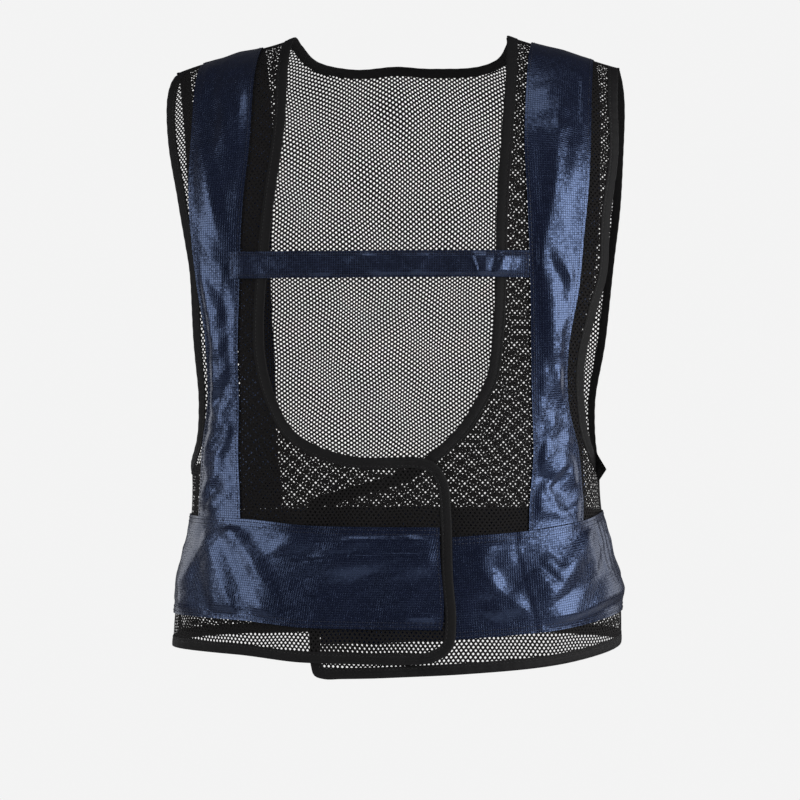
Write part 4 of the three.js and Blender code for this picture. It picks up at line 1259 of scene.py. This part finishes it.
def cell_group(name, *outputs):
    """A node group on UV in mm with a pitch. It gives the group, its end and the UV in pitches."""
    group = bpy.data.node_groups.new(name, "ShaderNodeTree")
    for title, kind in (("Vector", "NodeSocketVector"), ("Pitch", "NodeSocketFloat")):
        group.interface.new_socket(title, in_out="INPUT", socket_type=kind)
    for title in outputs:
        group.interface.new_socket(title, in_out="OUTPUT", socket_type="NodeSocketFloat")
    given = group.nodes.new("NodeGroupInput").outputs
    share = math_node(group, "DIVIDE", 1.0, given["Pitch"])
    counted = add_node(group, "ShaderNodeVectorMath", {"operation": "SCALE"}, Vector=given["Vector"],
                       Scale=share)
    return group, group.nodes.new("NodeGroupOutput"), counted.outputs[0]


def weave_group():
    """Plain weave: warp and weft are rounded ridges that take turns on top. Puts out the height of
    the cloth, 0 to 1, and a mask of single threads that differ in tone."""
    group, end, counted = cell_group("Plain_weave", "Height", "Tone")
    parts = add_node(group, "ShaderNodeSeparateXYZ", i0=counted).outputs
    warp, weft = [math_node(group, "SINE", math_node(group, "MULTIPLY", parts[k], np.pi)) for k in (0, 1)]
    height = math_node(group, "MULTIPLY_ADD", math_node(group, "MULTIPLY", warp, weft), 0.5, 0.5)
    plug(group, end, Height=height, Tone=noise(group, counted, 0.9, 1.0))
    return group


def ripstop_group():
    """Square cells. In a cell the height is a ramp with a random lean, and thicker threads stand up
    along its borders. Puts out height, threads and a random value for each cell."""
    group, end, counted = cell_group("Ripstop_cells", "Height", "Threads", "Cell")
    cell = vector_node(group, "FLOOR", counted)
    centred = vector_node(group, "SUBTRACT", vector_node(group, "FRACTION", counted), (0.5, 0.5, 0.0))
    chance = add_node(group, "ShaderNodeTexWhiteNoise", {"noise_dimensions": "3D"}, Vector=cell).outputs
    lean = vector_node(group, "SUBTRACT", chance["Color"], (0.5, 0.5, 0.5))
    ramp = vector_node(group, "DOT_PRODUCT", lean, centred, out="Value")
    away = add_node(group, "ShaderNodeSeparateXYZ", i0=vector_node(group, "ABSOLUTE", centred)).outputs
    border = math_node(group, "MAXIMUM", away[0], away[1])
    threads = add_node(group, "ShaderNodeMapRange", {"interpolation_type": "SMOOTHSTEP"}, Value=border,
                       i1=0.33, i2=0.48, i3=0.0, i4=1.0).outputs[0]
    height = math_node(group, "MULTIPLY_ADD", threads, 0.22, ramp)
    plug(group, end, Height=height, Threads=threads, Cell=chance["Value"])
    return group


def place_group(tree, group, vector, pitch):
    return add_node(tree, "ShaderNodeGroup", {"node_tree": group}, Vector=vector, Pitch=pitch).outputs


WEAVE = weave_group()
RIPSTOP = ripstop_group()
RIPSTOP_PITCH = 2.1
BLUE_GLOSS = (0.4, 0.56, 1.0, 1.0)

# %% The finishes


def nylon_material(name, dark, light):
    """Crushed navy ripstop: bright only where a facet faces a light. Its gloss is blue, because the
    filaments are dyed through. Cells, streaks of single yarns and small creases break it up."""
    material, tree, shader = new_material(name)
    uv, place = on_cloth(tree), in_space(tree)
    cells = place_group(tree, RIPSTOP, uv, RIPSTOP_PITCH)
    yarns = noise(tree, scaled(tree, uv, (1.5, 0.5, 1.0)), 1.0, 2.0)
    mottle = noise(tree, place, 48.0, 5.0, Roughness=0.65)
    tone = math_node(tree, "MULTIPLY_ADD", cells["Cell"], 0.35, mottle)
    share = math_node(tree, "MULTIPLY", math_node(tree, "MULTIPLY", tone, yarns), 1.5)
    seams = math_node(tree, "MULTIPLY", cells["Threads"], 0.6)
    colour = mix_colour(tree, seams, mix_colour(tree, share, dark, light), srgb(9, 10, 17))
    rough = math_node(tree, "MULTIPLY_ADD", cells["Cell"], 0.08, 0.19)
    rough = math_node(tree, "MULTIPLY_ADD", cells["Threads"], 0.15, rough)
    ridges = noise(tree, place, 34.0, 3.0, {"noise_type": "RIDGED_MULTIFRACTAL"})
    wide = bump(tree, ridges, 0.3, 0.0014)
    streaks = bump(tree, yarns, 0.6, 0.0001, Normal=wide)
    fine = bump(tree, cells["Height"], 0.9, 0.00022, Normal=streaks)
    plug(tree, shader, Base_Color=colour, Roughness=rough, Normal=fine, Specular_IOR_Level=0.9,
         Specular_Tint=BLUE_GLOSS)
    return material


def thread_material(name, dark, light):
    """Sewing thread, twisted: fine slanted ridges."""
    material, tree, shader = new_material(name)
    ply = add_node(tree, "ShaderNodeTexWave", {"bands_direction": "DIAGONAL"}, Vector=on_cloth(tree),
                   Scale=1.4).outputs["Fac"]
    plug(tree, shader, Base_Color=mix_colour(tree, ply, dark, light), Roughness=0.5,
         Normal=bump(tree, ply, 0.6, 0.0001))
    return material


def woven_material(name, dark, light, pitch, draw, depth, roughness, gloss):
    """Matt cloth. Its weave, drawn out on request, is a bump, and its threads differ in tone."""
    material, tree, shader = new_material(name)
    weave = place_group(tree, WEAVE, scaled(tree, on_cloth(tree), draw), pitch)
    plug(tree, shader, Base_Color=mix_colour(tree, weave["Tone"], dark, light), Roughness=roughness,
         Normal=bump(tree, weave["Height"], 0.5, depth), Specular_IOR_Level=gloss)
    return material


NYLON = nylon_material("Navy_nylon", srgb(9, 10, 20), srgb(23, 27, 48))
STRAP_NYLON = nylon_material("Strap_nylon", srgb(15, 16, 24), srgb(33, 37, 55))
THREAD = thread_material("Navy_thread", srgb(10, 12, 20), srgb(32, 38, 60))
BLACK_THREAD = thread_material("Black_thread", srgb(5, 5, 6), srgb(22, 21, 22))
NET = woven_material("Black_net", srgb(14, 13, 14), srgb(32, 30, 30), 0.45, (1, 1, 1), 0.0004, 0.75, 0.14)
TAPE = woven_material("Black_tape", srgb(11, 11, 12), srgb(28, 27, 28), 0.55, (1, 0.22, 1), 0.0003, 0.62,
                      0.18)

# %% Hand the pieces to the frame


def dress(piece, material, slot, *nodes):
    """Gives a piece its finish and its body, and hides the CAD nodes that it stands for."""
    piece.data.materials.append(material)
    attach(piece, "root")
    if nodes:
        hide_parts(*nodes)


for label in ("right", "left"):
    dress(nets[label]["piece"], NET, "net", f"net_front_{label}")
    dress(tapes[label], TAPE, "tape", f"edge_binding_{label}")
    dress(tapes[f"{label}_arm"], TAPE, "tape", f"armhole_binding_{label}")
    dress(ducts[label]["piece"], NYLON, "nylon", f"shoulder_duct_{label}")
dress(nets["back"]["piece"], NET, "net", "net_back")
for label in ("neck", "hem"):
    dress(tapes[label], TAPE, "tape", f"{label}_binding_back")
for label, part in bands.items():
    dress(part["piece"], NYLON, "nylon", f"waist_band_{label}")
dress(strap["piece"], STRAP_NYLON, "nylon", "chest_strap")
for piece in seam_tapes:
    dress(piece, TAPE, "tape")
dress(nylon_stitches, THREAD, "nylon")
dress(tape_stitches, BLACK_THREAD, "tape")

# %% [markdown]
# A net's area is that of its cells, holes and strands together. The nylon strips are measured along
# their own grids.


# %% [markdown]
# A pale floor and soft light from large panels. The world is pale where the camera looks past the
# vest and darker for light, so that the nylon keeps its dark facets between the bright ones.

# %% Stage, lights and camera
FLOOR_HEIGHT = -1.05
FLOOR_RADIUS = 2.2
FLOOR_CORNERS = 96
FLOOR_GLOW = 0.25
PALE = (0.9, 0.9, 0.9, 1.0)
SHADE = (0.075, 0.077, 0.085, 1.0)


def make_floor():
    """A flat disc in the pale grey of paper, which fades out towards its rim."""
    ring = np.linspace(0, 2 * np.pi, FLOOR_CORNERS + 1)[:-1]
    rim = np.stack([np.cos(ring), np.sin(ring), np.full(FLOOR_CORNERS, FLOOR_HEIGHT / FLOOR_RADIUS)], -1)
    points = rim * FLOOR_RADIUS / MM
    floor = add_mesh("studio_floor", points, [np.arange(FLOOR_CORNERS)[None, :]], points[:, :2])
    material, tree, shader = new_material("Floor_paper")
    place = in_space(tree)
    grain = noise(tree, place, 40.0, 3.0)
    level = add_node(tree, "ShaderNodeMapping", Vector=place, Location=(0, 0, -FLOOR_HEIGHT)).outputs[0]
    far = vector_node(tree, "LENGTH", level, out="Value")
    fade = add_node(tree, "ShaderNodeMapRange", Value=far, i1=FLOOR_RADIUS * 0.4, i2=FLOOR_RADIUS * 0.98,
                    i3=1.0, i4=0.0).outputs[0]
    plug(tree, shader, Base_Color=mix_colour(tree, grain, srgb(232, 232, 232), srgb(240, 240, 240)),
         Alpha=fade, Roughness=0.85, Emission_Color=PALE, Emission_Strength=FLOOR_GLOW)
    floor.data.materials.append(material)


def make_world():
    world = bpy.data.worlds.new("Studio")
    bpy.context.scene.world = world
    world.use_nodes = True
    tree = world.node_tree
    tree.nodes.clear()
    seen = add_node(tree, "ShaderNodeLightPath").outputs["Is Camera Ray"]
    glow = add_node(tree, "ShaderNodeBackground", Color=mix_colour(tree, seen, SHADE, PALE), Strength=1.0)
    add_node(tree, "ShaderNodeOutputWorld", i0=glow.outputs[0])


AIM = (0, 0, -0.3)
PANELS = {
    "left_panel": ((-2.6, -1.35, 0.1), (1.3, 1.5), 28),
    "right_panel": ((2.62, -1.22, 0.05), (1.7, 1.5), 66),
    "top_panel": ((0.1, -1.1, 2.0), (1.6, 0.9), 12),
    "back_left_panel": ((2.3, 1.6, -0.1), (1.3, 1.3), 10),
    "back_right_panel": ((-2.3, 1.6, -0.1), (1.3, 1.3), 7),
}


def add_light(name, place, size, watts):
    """A soft panel that faces the vest."""
    lamp = bpy.data.lights.new(name, "AREA")
    lamp.shape = "RECTANGLE"
    lamp.size, lamp.size_y = size
    lamp.energy = watts
    panel = bpy.data.objects.new(name, lamp)
    panel.location = place
    panel.rotation_euler = Vector(np.subtract(AIM, place)).to_track_quat("-Z", "Y").to_euler()
    bpy.context.scene.collection.objects.link(panel)


make_floor()
make_world()
bpy.context.scene.view_settings.view_transform = "Standard"
for name, (place, size, watts) in PANELS.items():
    add_light(name, place, size, watts)

CAMERA_TURN = np.radians(6.5)
CAMERA_DISTANCE = 2.6
CAMERA_HEIGHT = -0.327
CAMERA_ASIDE = 0.0028
CAMERA_LENS, CAMERA_SENSOR = 125.8, 36
camera_data = bpy.data.cameras.new("photo_camera")
camera_data.sensor_width = CAMERA_SENSOR
camera_data.lens = CAMERA_LENS
camera = bpy.data.objects.new("photo_camera", camera_data)
camera.location = (
    CAMERA_DISTANCE * np.sin(CAMERA_TURN) + CAMERA_ASIDE * np.cos(CAMERA_TURN),
    -CAMERA_DISTANCE * np.cos(CAMERA_TURN) + CAMERA_ASIDE * np.sin(CAMERA_TURN),
    CAMERA_HEIGHT,
)
camera.rotation_euler = (np.pi / 2, 0, CAMERA_TURN)
bpy.context.scene.collection.objects.link(camera)
bpy.context.scene.camera = camera
